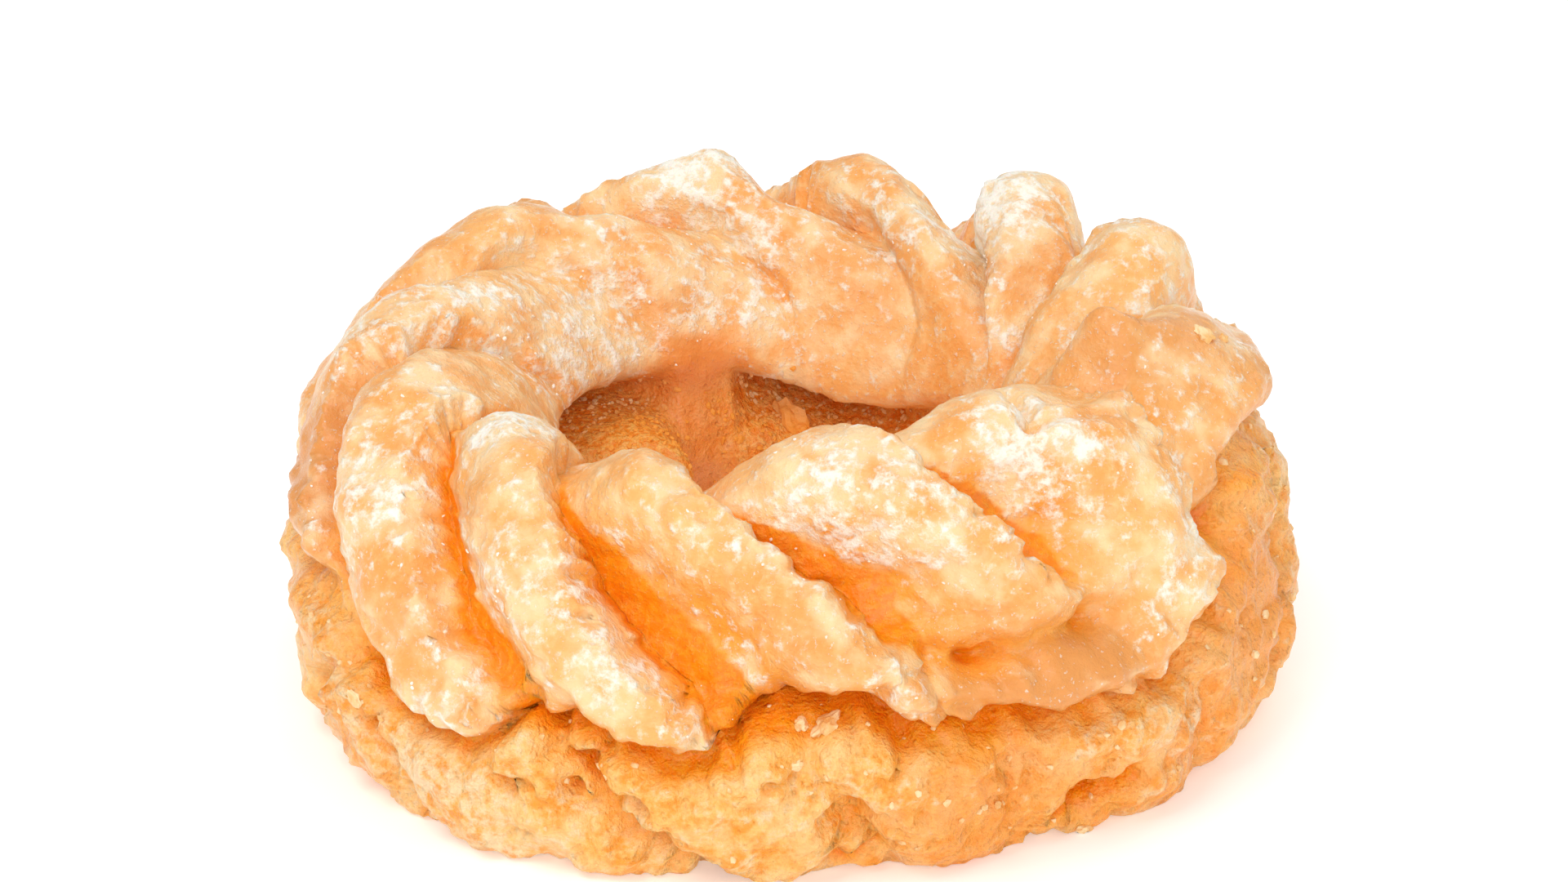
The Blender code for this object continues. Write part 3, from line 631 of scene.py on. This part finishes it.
def crust_grid():
    """Points of the crust in mm with its painted masks, and the angles of each point."""
    rows = row_angles()[:, None]
    theta, height, lean, bare, edge, tip = swirl_strips(rows)
    phi = np.broadcast_to(rows, theta.shape)
    here, out, along, up = frame_at(theta, phi)
    tabs = sum(hump(half_turn(theta), drop, ring, half) for ring, drop, half in TABS)
    middle = around(TIER, 1, theta) + TIP_LIFT * tip + wander(here, LOWER_JAG) - tabs
    above = smooth((phi - middle + 4.0) / 10.0)
    tier, droop, tier_bare = tier_relief(theta, phi, middle)
    torn = 1.0 - 0.7 * above
    tear_along = torn * wander(here, TEAR_ALONG)
    tear_up = torn * wander(here, TEAR_UP)
    cuts = CUT_SHARE * cut_relief(theta + tear_along / RING_MM, phi + tear_up / TUBE_MM)
    pits = spots(here + along * tear_along[..., None] + up * tear_up[..., None], PITS)
    height = height * above + tier + cuts + spots(here, KNOBS)
    height = height + lump_relief(here, 1.0 - above) - pits
    points = here + out * height[..., None] + along * (lean * above)[..., None]
    points = points + up * droop[..., None]
    points[..., 2] = np.maximum(points[..., 2], REST_CUT)
    points = points + np.array(RING_MIDDLE)
    front = smooth((np.cos(np.radians(theta)) + 0.1) / 0.5)
    bare = bare * (0.3 + 0.7 * front) * above + tier_bare
    bare = bare + 0.17 * np.clip(-cuts, 0.0, 4.0) + 0.45 * pits
    masks = paint_masks(theta, phi, here, above, height, bare, edge)
    return points, masks, theta.reshape(-1), phi.reshape(-1)


def ring_mesh(points, masks, name):
    """Closed ring mesh in metres from the grid, with its masks as point attributes."""
    rows, columns = points.shape[:2]
    index = np.arange(rows * columns).reshape(rows, columns)
    beside = np.roll(index, -1, 1)
    over = np.roll(index, -1, 0)
    across = np.roll(beside, -1, 0)
    faces = np.stack((index, beside, across, over), -1).reshape(-1, 4)
    mesh = bpy.data.meshes.new(name)
    mesh.from_pydata((points.reshape(-1, 3) * MM).tolist(), [], faces.tolist())
    mesh.update()
    for key, values in masks.items():
        add_layer(mesh, key, values)
    mesh.shade_smooth()
    return mesh


def add_layer(mesh, name, values):
    """Attribute with one number for each point of a mesh."""
    layer = mesh.attributes.new(name, "FLOAT", "POINT")
    layer.data.foreach_set("value", values.reshape(-1).astype(np.float32))


class Tree:
    """Short way of writing down a node tree."""

    def __init__(self, tree):
        self.tree = tree

    def node(self, kind, **settings):
        """New node with its settings."""
        made = self.tree.nodes.new(kind)
        for key, value in settings.items():
            setattr(made, key, value)
        return made

    def join(self, source, target):
        """Link from an output to an input."""
        self.tree.links.new(source, target)

    def feed(self, value, socket):
        """Link or plain value into an input."""
        if isinstance(value, bpy.types.NodeSocket):
            self.join(value, socket)
        else:
            socket.default_value = value

    def maths(self, operation, *values):
        """Result of a sum on numbers or outputs."""
        made = self.node("ShaderNodeMath", operation=operation)
        for socket, value in zip(made.inputs, values):
            self.feed(value, socket)
        return made.outputs[0]

    def vector(self, operation, first, second):
        """Result of a sum on vectors, where the second may be the factor of a SCALE."""
        made = self.node("ShaderNodeVectorMath", operation=operation)
        self.feed(first, made.inputs[0])
        self.feed(second, made.inputs["Scale" if operation == "SCALE" else 1])
        return made.outputs[0]

    def plus(self, total, value, share, middle=0.0):
        """Total and a share of what a value has above its middle."""
        if middle:
            value = self.maths("SUBTRACT", value, middle)
        return self.maths("MULTIPLY_ADD", value, share, total)

    def mix(self, factor, first, second):
        """Colour between two colours."""
        made = self.node("ShaderNodeMix", data_type="RGBA")
        self.feed(factor, made.inputs[0])
        self.feed(first, made.inputs[6])
        self.feed(second, made.inputs[7])
        return made.outputs[2]

    def step(self, value, low, high, to_low=0.0, to_high=1.0):
        """Soft step of a value between two levels."""
        made = self.node("ShaderNodeMapRange", interpolation_type="SMOOTHSTEP", clamp=True)
        self.feed(value, made.inputs["Value"])
        made.inputs["From Min"].default_value = low
        made.inputs["From Max"].default_value = high
        made.inputs["To Min"].default_value = to_low
        made.inputs["To Max"].default_value = to_high
        return made.outputs["Result"]

    def noise(self, vector, scale, detail=3.0, roughness=0.55):
        """Soft random level."""
        return self.wave(vector, scale, detail, roughness).outputs["Fac"]

    def wave(self, vector, scale, detail, roughness=0.5):
        """Noise node with all its outputs."""
        made = self.node("ShaderNodeTexNoise")
        self.feed(vector, made.inputs["Vector"])
        self.feed(scale, made.inputs["Scale"])
        made.inputs["Detail"].default_value = detail
        made.inputs["Roughness"].default_value = roughness
        return made

    def cells(self, vector, scale):
        """Distance to the nearest of many scattered points."""
        made = self.node("ShaderNodeTexVoronoi")
        self.feed(vector, made.inputs["Vector"])
        made.inputs["Scale"].default_value = scale
        return made.outputs["Distance"]

    def layer(self, name):
        """A mesh's attribute in a geometry tree."""
        made = self.node("GeometryNodeInputNamedAttribute", data_type="FLOAT")
        made.inputs["Name"].default_value = name
        return made.outputs["Attribute"]


def geometry_tree(name, sizes):
    """Empty geometry tree with a geometry input, named sizes, a material and a geometry output."""
    tree = bpy.data.node_groups.new(name, "GeometryNodeTree")
    tree.interface.new_socket("Geometry", in_out="INPUT", socket_type="NodeSocketGeometry")
    for label, value in sizes.items():
        kind = "NodeSocketInt" if isinstance(value, int) else "NodeSocketFloat"
        made = tree.interface.new_socket(label, in_out="INPUT", socket_type=kind)
        made.default_value = value
    tree.interface.new_socket("Material", in_out="INPUT", socket_type="NodeSocketMaterial")
    tree.interface.new_socket("Geometry", in_out="OUTPUT", socket_type="NodeSocketGeometry")
    return Tree(tree)


def run_tree(carrier, maker, name, material, **sizes):
    """Plain mesh object made by a geometry tree from a carrier mesh."""
    obj = bpy.data.objects.new(name, carrier)
    bpy.context.scene.collection.objects.link(obj)
    tree = maker(name + "_tree", sizes).tree
    modifier = obj.modifiers.new("tree", "NODES")
    modifier.node_group = tree
    for item in tree.interface.items_tree:
        if item.item_type != "SOCKET" or item.in_out != "INPUT":
            continue
        if item.name in sizes:
            modifier[item.identifier] = sizes[item.name]
        if item.name == "Material":
            modifier[item.identifier] = material
    shown = obj.evaluated_get(bpy.context.evaluated_depsgraph_get())
    plain = bpy.data.meshes.new_from_object(shown)
    obj.modifiers.remove(modifier)
    obj.data = plain
    plain.name = name
    return obj


def random_push(t, place, scale, detail, reach):
    """Offset in a random direction that changes softly from place to place."""
    level = t.wave(place, scale, detail).outputs["Color"]
    return t.vector("SCALE", t.vector("SUBTRACT", level, (0.5, 0.5, 0.5)), reach)


def realized(t, geometry):
    """Instances turned into a plain mesh."""
    real = t.node("GeometryNodeRealizeInstances")
    t.join(geometry, real.inputs[0])
    return real.outputs[0]


def pushed(t, geometry, offset):
    """Geometry with its points moved."""
    moved = t.node("GeometryNodeSetPosition")
    t.join(geometry, moved.inputs["Geometry"])
    t.join(offset, moved.inputs["Offset"])
    return moved.outputs[0]


def end_tree(t, geometry, material):
    """Material on the geometry, and the tree's output."""
    coated = t.node("GeometryNodeSetMaterial")
    t.join(geometry, coated.inputs["Geometry"])
    t.join(material, coated.inputs["Material"])
    t.join(coated.outputs[0], t.node("NodeGroupOutput").inputs[0])


def crust_tree(name, sizes):
    """Fine relief of the crust: crumbs below, crystals on the white glaze and painted gloss spots,
    ragged edges.
    """
    t = geometry_tree(name, sizes)
    start = t.node("NodeGroupInput")
    place = t.node("GeometryNodeInputPosition").outputs[0]
    normal = t.node("GeometryNodeInputNormal").outputs[0]

    def relief(kind, share, detail):
        """Random height of one kind of relief, in metres."""
        scale = t.maths("DIVIDE", 1.0, start.outputs[kind + " size"])
        level = t.maths("SUBTRACT", t.wave(place, scale, detail).outputs["Fac"], 0.5)
        level = t.maths("MULTIPLY", level, start.outputs[kind + " height"])
        return t.maths("MULTIPLY", level, share)

    upper = t.layer("upper")
    lower = t.maths("SUBTRACT", 1.0, upper)
    total = t.maths("ADD", relief("Crumb", lower, 4.0), relief("Crystal", t.layer("frost_and_gloss"), 2.0))
    total = t.maths("ADD", total, relief("Glaze", upper, 2.0))
    edge_scale = t.maths("DIVIDE", 1.0, start.outputs["Edge size"])
    edge_reach = t.maths("MULTIPLY", t.layer("edge"), start.outputs["Edge height"])
    ragged = random_push(t, place, edge_scale, 2.0, edge_reach)
    offset = t.vector("ADD", t.vector("SCALE", normal, total), ragged)
    moved = pushed(t, start.outputs["Geometry"], offset)
    end_tree(t, realized(t, moved), start.outputs["Material"])
    return t


def random_size(t, start):
    """Size of a bit, stretched differently along its three sides."""
    size = t.node("FunctionNodeRandomValue", data_type="FLOAT")
    t.join(start.outputs["Smallest"], size.inputs[2])
    t.join(start.outputs["Largest"], size.inputs[3])
    stretch = t.node("FunctionNodeRandomValue", data_type="FLOAT_VECTOR")
    stretch.inputs[0].default_value = BIT_LEAST
    stretch.inputs[1].default_value = BIT_MOST
    return t.vector("SCALE", stretch.outputs[0], size.outputs[1])


def scatter_tree(name, sizes):
    """Small lumpy bits stuck all over the places where a mask is high."""
    t = geometry_tree(name, sizes)
    start = t.node("NodeGroupInput")
    dots = t.node("GeometryNodeDistributePointsOnFaces")
    t.join(start.outputs["Geometry"], dots.inputs["Mesh"])
    t.join(t.maths("MULTIPLY", t.layer("scatter"), start.outputs["Density"]), dots.inputs["Density"])
    t.join(start.outputs["Seed"], dots.inputs["Seed"])
    ball = t.node("GeometryNodeMeshIcoSphere")
    ball.inputs["Radius"].default_value = 1.0
    t.join(start.outputs["Faces"], ball.inputs["Subdivisions"])
    put = t.node("GeometryNodeInstanceOnPoints")
    t.join(dots.outputs["Points"], put.inputs["Points"])
    t.join(ball.outputs["Mesh"], put.inputs["Instance"])
    t.join(dots.outputs["Rotation"], put.inputs["Rotation"])
    t.join(random_size(t, start), put.inputs["Scale"])
    spin = t.node("FunctionNodeRandomValue", data_type="FLOAT")
    spin.inputs[3].default_value = BIT_TURN
    angles = t.node("ShaderNodeCombineXYZ")
    t.join(spin.outputs[1], angles.inputs["Z"])
    turn = t.node("GeometryNodeRotateInstances")
    t.join(put.outputs[0], turn.inputs["Instances"])
    t.join(angles.outputs[0], turn.inputs["Rotation"])
    place = t.node("GeometryNodeInputPosition").outputs[0]
    scale = t.maths("DIVIDE", 1.6, start.outputs["Largest"])
    reach = t.maths("MULTIPLY", start.outputs["Largest"], 1.1)
    lumpy = pushed(t, realized(t, turn.outputs[0]), random_push(t, place, scale, 1.0, reach))
    end_tree(t, lumpy, start.outputs["Material"])
    return t


def new_material(name, colour, roughness):
    """Principled material with its tree, shader and a preview colour."""
    material = bpy.data.materials.new(name)
    material.use_nodes = True
    material.diffuse_color = colour
    shader = material.node_tree.nodes["Principled BSDF"]
    shader.inputs["Base Color"].default_value = colour
    shader.inputs["Roughness"].default_value = roughness
    return material, Tree(material.node_tree), shader


def soften(shader, weight, scale):
    """Light that enters the glaze and dough and comes out warmer."""
    shader.inputs["Subsurface Weight"].default_value = weight
    shader.inputs["Subsurface Radius"].default_value = (1.0, 0.62, 0.38)
    shader.inputs["Subsurface Scale"].default_value = scale


def add_bump(t, shader, height, strength, distance):
    """Relief finer than the mesh; the distance is in metres."""
    bump = t.node("ShaderNodeBump")
    bump.inputs["Strength"].default_value = strength
    bump.inputs["Distance"].default_value = distance
    t.join(height, bump.inputs["Height"])
    t.join(bump.outputs[0], shader.inputs["Normal"])


def crust_patterns(t):
    """The crust's masks, and noises on it from broad to fine."""
    where = t.node("ShaderNodeTexCoord").outputs["Object"]
    found = {
        "broad": t.noise(where, 110.0, 2.0),
        "middle": t.noise(where, 260.0, 3.0, 0.5),
        "lace": t.noise(where, 430.0, 6.0, 0.68),
        "small": t.noise(where, 820.0, 5.0, 0.65),
        "grit": t.noise(where, 1250.0, 3.0, 0.6),
        "fine": t.noise(where, 2600.0, 2.0, 0.6),
        "pits": t.cells(where, 1400.0),
    }
    for label in ("upper", "frost_and_gloss", "bare", "edge", "low", "inside", "pooled", "caramel_and_shade"):
        found[label] = t.node("ShaderNodeAttribute", attribute_name=label).outputs["Fac"]
    found["lower"] = t.maths("SUBTRACT", 1.0, found["upper"])
    return found


def white_level(t, pattern):
    """Cover of white glaze and painted gloss, and the same broken up into lace."""
    cover = t.maths("MULTIPLY", pattern["frost_and_gloss"], 0.13)
    cover = t.plus(cover, pattern["caramel_and_shade"], -0.10)
    cover = t.plus(cover, pattern["edge"], 0.04)
    cover = t.plus(cover, pattern["pooled"], -0.25)
    cover = t.plus(cover, pattern["broad"], 0.25, 0.5)
    level = t.plus(cover, pattern["lace"], 0.75)
    level = t.plus(level, pattern["small"], 0.75, 0.5)
    return cover, t.plus(level, pattern["grit"], 0.40, 0.5)


def white_lace(t, pattern, level):
    """White crystals with pinholes, and fine white specks that are partly sugar and partly painted
    glints.
    """
    white = t.step(level, 0.42, 0.67, 0.0, 0.92)
    white = t.maths("MULTIPLY", white, t.step(pattern["pits"], 0.14, 0.30, 0.6, 1.0))
    # Fine white specks, partly sugar and partly painted glints
    return t.maths("MAXIMUM", white, t.step(pattern["fine"], 0.62, 0.70, 0.0, 0.45))


def glaze_colour(t, pattern, cover, white):
    """Honey glaze under a pale veil and white lace, with paler flecks as painted highlights, and
    painted shade in the creases and in deeper spots that are partly its own tone.
    """
    honey = t.mix(t.step(pattern["broad"], 0.36, 0.64), HONEY_DEEP, HONEY)
    # Painted highlights: paler honey in random flecks
    honey = t.mix(t.step(pattern["small"], 0.45, 0.64, 0.0, 0.45), honey, HONEY_PAINTED_HIGHLIGHT)
    # Deeper glaze in the listed spots, partly painted shade
    honey = t.mix(pattern["caramel_and_shade"], honey, CARAMEL_AND_SHADE_GLAZE)
    # Painted shade: deeper honey where the crust sinks into the creases
    honey = t.mix(t.step(pattern["low"], 0.12, 0.80, 0.0, 0.80), honey, HONEY_PAINTED_SHADE)
    veil = t.step(t.maths("ADD", pattern["middle"], cover), 0.45, 0.72, 0.0, 0.70)
    return t.mix(white, t.mix(veil, honey, VEILED_GLAZE), WHITE_GLAZE)


def dough_colour(t, pattern, level):
    """Fried dough below the swirls, deeper in spots that are partly its own tone and partly painted
    shade, dusted with dried glaze.
    """
    dough = t.mix(t.step(pattern["small"], 0.36, 0.60), DOUGH_ORANGE, DOUGH_GOLD)
    dough = t.mix(t.step(pattern["middle"], 0.42, 0.66, 0.0, 0.7), dough, DOUGH_PALE)
    # Deeper dough in the listed spots, partly painted shade
    dough = t.mix(t.maths("MULTIPLY", pattern["caramel_and_shade"], 0.7), dough, DOUGH_CARAMEL_AND_SHADE)
    return t.mix(t.step(level, 0.37, 0.66, 0.0, 0.7), dough, DOUGH_DUSTED)


def gap_colour(t, pattern, colour):
    """The colour given, turned amber in the gaps, with a darker amber as painted shade where the
    crust sinks deep.
    """
    amber = t.mix(t.step(pattern["grit"], 0.40, 0.65), GAP_DEEP, GAP_AMBER)
    # Painted shade: darker amber where the gaps are deep
    amber = t.mix(t.maths("MULTIPLY", pattern["low"], 0.35), amber, GAP_PAINTED_SHADE)
    amber = t.mix(t.step(pattern["fine"], 0.60, 0.72, 0.0, 0.3), amber, GAP_SPECK)
    deep = t.plus(pattern["bare"], pattern["lace"], 0.7, 0.5)
    colour = t.mix(t.step(deep, 0.10, 0.55, 0.0, 0.55), colour, GAP_RIM)
    return t.mix(t.step(deep, 0.36, 0.80, 0.0, 0.96), colour, amber)


def hole_colour(t, pattern, colour):
    """The colour given, with pooled glaze and torn brown dough in the hole."""
    brown = t.mix(t.step(pattern["grit"], 0.40, 0.60), HOLE_BROWN, HOLE_GOLD)
    colour = t.mix(t.maths("MULTIPLY", pattern["pooled"], 0.75), colour, POOLED_GLAZE)
    return t.mix(t.maths("MULTIPLY", pattern["inside"], 0.9), colour, brown)


def crust_relief(t, pattern, white):
    """Height of the crust's finest relief, stronger on bare dough."""
    strength = t.plus(t.plus(0.25, white, 0.20), pattern["lower"], 0.35)
    relief = t.maths("MULTIPLY", pattern["fine"], strength)
    relief = t.plus(relief, pattern["grit"], t.maths("ADD", 0.55, pattern["lower"]))
    relief = t.plus(relief, pattern["grit"], pattern["inside"])
    relief = t.plus(relief, pattern["small"], 0.7)
    relief = t.plus(relief, t.step(pattern["pits"], 0.05, 0.35, -0.5, 0.0), pattern["lower"])
    return t.plus(relief, white, 0.15)


def glazed_crust():
    """Caramel glaze with lacy white crystals over golden dough that turns amber in the gaps, with
    painted highlights and painted shade in its colour.
    """
    material, t, shader = new_material("glazed_crust", (0.92, 0.56, 0.25, 1.0), 0.42)
    pattern = crust_patterns(t)
    cover, level = white_level(t, pattern)
    white = white_lace(t, pattern, level)
    glaze = glaze_colour(t, pattern, cover, white)
    colour = t.mix(pattern["upper"], dough_colour(t, pattern, level), glaze)
    colour = hole_colour(t, pattern, gap_colour(t, pattern, colour))
    t.join(colour, shader.inputs["Base Color"])
    rough = t.plus(t.plus(0.28, white, 0.30), pattern["lower"], 0.04)
    t.join(rough, shader.inputs["Roughness"])
    add_bump(t, shader, crust_relief(t, pattern, white), 0.7, 0.0004)
    soften(shader, 0.25, 0.0007)
    shader.inputs["Specular IOR Level"].default_value = 0.3
    shader.inputs["Coat Weight"].default_value = 0.20
    shader.inputs["Coat Roughness"].default_value = 0.18
    return material


def white_sugar():
    """Grains of dried white glaze."""
    material, t, shader = new_material("white_sugar", (0.96, 0.88, 0.76, 1.0), 0.5)
    where = t.node("ShaderNodeTexCoord").outputs["Object"]
    tint = t.noise(where, 500.0)
    colour = t.mix(t.step(tint, 0.35, 0.65), SUGAR_CREAM, SUGAR_WHITE)
    t.join(colour, shader.inputs["Base Color"])
    t.join(t.plus(0.35, tint, 0.3), shader.inputs["Roughness"])
    add_bump(t, shader, t.noise(where, 2600.0), 0.5, 0.0002)
    return material


def golden_crumb():
    """Torn bits of fried dough, darker inside the hole."""
    material, t, shader = new_material("golden_crumb", (0.92, 0.62, 0.28, 1.0), 0.6)
    where = t.node("ShaderNodeTexCoord").outputs["Object"]
    tint = t.noise(where, 600.0, 4.0)
    colour = t.mix(t.step(tint, 0.35, 0.65), CRUMB_BROWN, CRUMB_GOLD)
    away = t.node("ShaderNodeVectorMath", operation="LENGTH")
    t.join(t.vector("MULTIPLY", where, (1.0, 1.0, 0.0)), away.inputs[0])
    hole = t.step(away.outputs["Value"], HOLE_CRUMB_R, OUTER_CRUMB_R, 1.0, 0.0)
    t.join(t.mix(hole, colour, CRUMB_IN_HOLE), shader.inputs["Base Color"])
    t.join(t.plus(0.45, tint, 0.3), shader.inputs["Roughness"])
    add_bump(t, shader, t.noise(where, 2200.0, 4.0), 0.6, 0.0003)
    return material


def studio_white():
    """Pale floor that glows a little."""
    material, _, shader = new_material("studio_white", (0.94, 0.94, 0.94, 1.0), 0.9)
    shader.inputs["Emission Color"].default_value = (1.0, 1.0, 1.0, 1.0)
    shader.inputs["Emission Strength"].default_value = FLOOR_GLOW
    return material


def surface_spot(mesh, theta, phi, ring, tube):
    """Place and outward direction of the crust at a ring angle and a tube angle."""
    gap_ring = half_turn(theta - ring) * NEAR_RING_MM
    gap_tube = half_turn(phi - tube) * NEAR_TUBE_MM
    index = int(np.argmin(gap_ring ** 2 + gap_tube ** 2))
    point = mesh.vertices[index]
    return point.co.copy(), point.normal.copy()


def crumb_shape(bm, place, out, size, seed):
    """Rough lump of dough half sunk in the crust; size is across, along and high in mm."""
    made = bmesh.ops.create_icosphere(bm, subdivisions=3, radius=1.0)
    side = out.orthogonal().normalized()
    upward = side.cross(out).normalized()
    for vert in made["verts"]:
        spot = vert.co.copy()
        rough = 1.0 + 0.55 * noise.noise(spot * 1.4 + Vector((seed, 0.0, 0.0)))
        rough += 0.30 * noise.noise(spot * 3.6 + Vector((0.0, seed, 0.0)))
        spot = spot * rough
        offset = side * spot.x * size[0] + upward * spot.y * size[1] + out * spot.z * size[2]
        vert.co = place + offset * (0.5 * MM)


def new_piece(bm, name, material):
    """Object with the mesh in the making."""
    mesh = bpy.data.meshes.new(name)
    bm.to_mesh(mesh)
    bm.free()
    mesh.materials.append(material)
    obj = bpy.data.objects.new(name, mesh)
    bpy.context.scene.collection.objects.link(obj)
    return obj


def make_crumbs(mesh, theta, phi, material):
    """Single crumbs that cling to the crust, faces outwards."""
    bm = bmesh.new()
    for number, (ring, tube, wide, long, high) in enumerate(CRUMBS):
        place, out = surface_spot(mesh, theta, phi, ring, tube)
        crumb_shape(bm, place, out, (wide, long, high), 5.7 * number + 1.0)
    bmesh.ops.recalc_face_normals(bm, faces=bm.faces)
    return new_piece(bm, "stuck_crumbs", material)


def make_lights():
    """Big soft studio lights and a white surround."""
    world = bpy.data.worlds.new("white_room")
    bpy.context.scene.world = world
    world.use_nodes = True
    room = world.node_tree.nodes["Background"]
    room.inputs[0].default_value = (1.0, 1.0, 1.0, 1.0)
    room.inputs[1].default_value = ROOM_LIGHT
    for name, place, side, power in LIGHTS:
        data = bpy.data.lights.new(name, "AREA")
        data.size = side
        data.energy = power
        lamp = bpy.data.objects.new(name, data)
        lamp.location = place
        aim = Vector((0.0, 0.0, LIGHT_AIM_Z)) - Vector(place)
        lamp.rotation_euler = aim.to_track_quat("-Z", "Y").to_euler()
        bpy.context.scene.collection.objects.link(lamp)


def make_camera():
    """Camera at the photograph's place."""
    tilt = math.radians(CAMERA_ELEVATION)
    back = Vector((0.0, -math.cos(tilt), math.sin(tilt)))
    aim = (Vector((0.0, 0.0, CAMERA_AIM_Z)) + Vector(RING_MIDDLE)) * MM
    wide, high = PICTURE_PX
    data = bpy.data.cameras.new("camera")
    data.sensor_width = FILM_MM
    data.lens = CAMERA_FOCAL_PX * FILM_MM / wide
    data.shift_x = (0.5 * wide - CAMERA_MIDDLE_PX[0]) / wide
    data.shift_y = (CAMERA_MIDDLE_PX[1] - 0.5 * high) / wide
    data.clip_start = 0.01
    camera = bpy.data.objects.new("camera", data)
    camera.location = aim + back * CAMERA_DISTANCE
    camera.rotation_euler = (math.radians(90.0 - CAMERA_ELEVATION), 0.0, 0.0)
    bpy.context.scene.collection.objects.link(camera)
    bpy.context.scene.camera = camera


def make_floor():
    """Pale floor under the doughnut."""
    bm = bmesh.new()
    bmesh.ops.create_grid(bm, x_segments=1, y_segments=1, size=FLOOR_HALF)
    floor = new_piece(bm, "floor", studio_white())
    floor.location.z = FLOOR_Z


def lift_onto_floor(piece):
    """Vertices below the floor move up to it, so that the dough rests flat."""
    count = len(piece.data.vertices)
    points = np.empty(count * 3)
    piece.data.vertices.foreach_get("co", points)
    points = points.reshape(count, 3)
    points[:, 2] = np.maximum(points[:, 2], 0.0)
    piece.data.vertices.foreach_set("co", points.reshape(-1))
    piece.data.update()


def dress(piece):
    """Tie a finished piece to the doughnut, with nothing of it below the floor."""
    lift_onto_floor(piece)
    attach(piece, "root")


def scatter(mesh, name, mask, material, **sizes):
    """Piece of small bits all over a mesh, where a mask is high; the sizes are in metres."""
    carrier = mesh.copy()
    carrier.name = name + "_places"
    add_layer(carrier, "scatter", mask)
    dress(run_tree(carrier, scatter_tree, name, material, Faces=1, **sizes))


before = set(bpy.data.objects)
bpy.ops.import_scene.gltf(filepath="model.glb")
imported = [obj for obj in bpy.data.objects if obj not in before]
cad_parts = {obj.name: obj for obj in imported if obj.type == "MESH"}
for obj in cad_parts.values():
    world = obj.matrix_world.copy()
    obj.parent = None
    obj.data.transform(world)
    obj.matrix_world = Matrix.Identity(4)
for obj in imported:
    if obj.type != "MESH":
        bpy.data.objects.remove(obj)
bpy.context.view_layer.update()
bpy.context.scene.view_settings.view_transform = "Standard"

points, masks, ring_angles, tube_angles = crust_grid()
crust = ring_mesh(points, masks, "crust")
cruller = run_tree(crust, crust_tree, "glazed_cruller", glazed_crust(), **CRUST_SIZES)
dress(cruller)
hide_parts("cruller")

grain_mask = np.clip(masks["frost_and_gloss"] - GRAIN_FROST_AND_GLOSS, 0.0, 1.0) * masks["upper"]
grain_mask = grain_mask + GRAIN_EDGE * masks["edge"]
scatter(cruller.data, "sugar_grains", grain_mask, white_sugar(),
        Density=220000.0, Seed=4, Smallest=0.00006, Largest=0.00020)

torn_dough = golden_crumb()
crumb_mask = (1.0 - masks["upper"]) * (1.0 - masks["inside"]) * (points[..., 2] > CRUMB_Z)
scatter(cruller.data, "dough_crumbs", crumb_mask, torn_dough,
        Density=50000.0, Seed=9, Smallest=0.00012, Largest=0.00045)
scatter(cruller.data, "hole_crumbs", masks["inside"], torn_dough,
        Density=1600000.0, Seed=12, Smallest=0.00010, Largest=0.00034)
dress(make_crumbs(cruller.data, ring_angles, tube_angles, torn_dough))

make_floor()
make_lights()
make_camera()
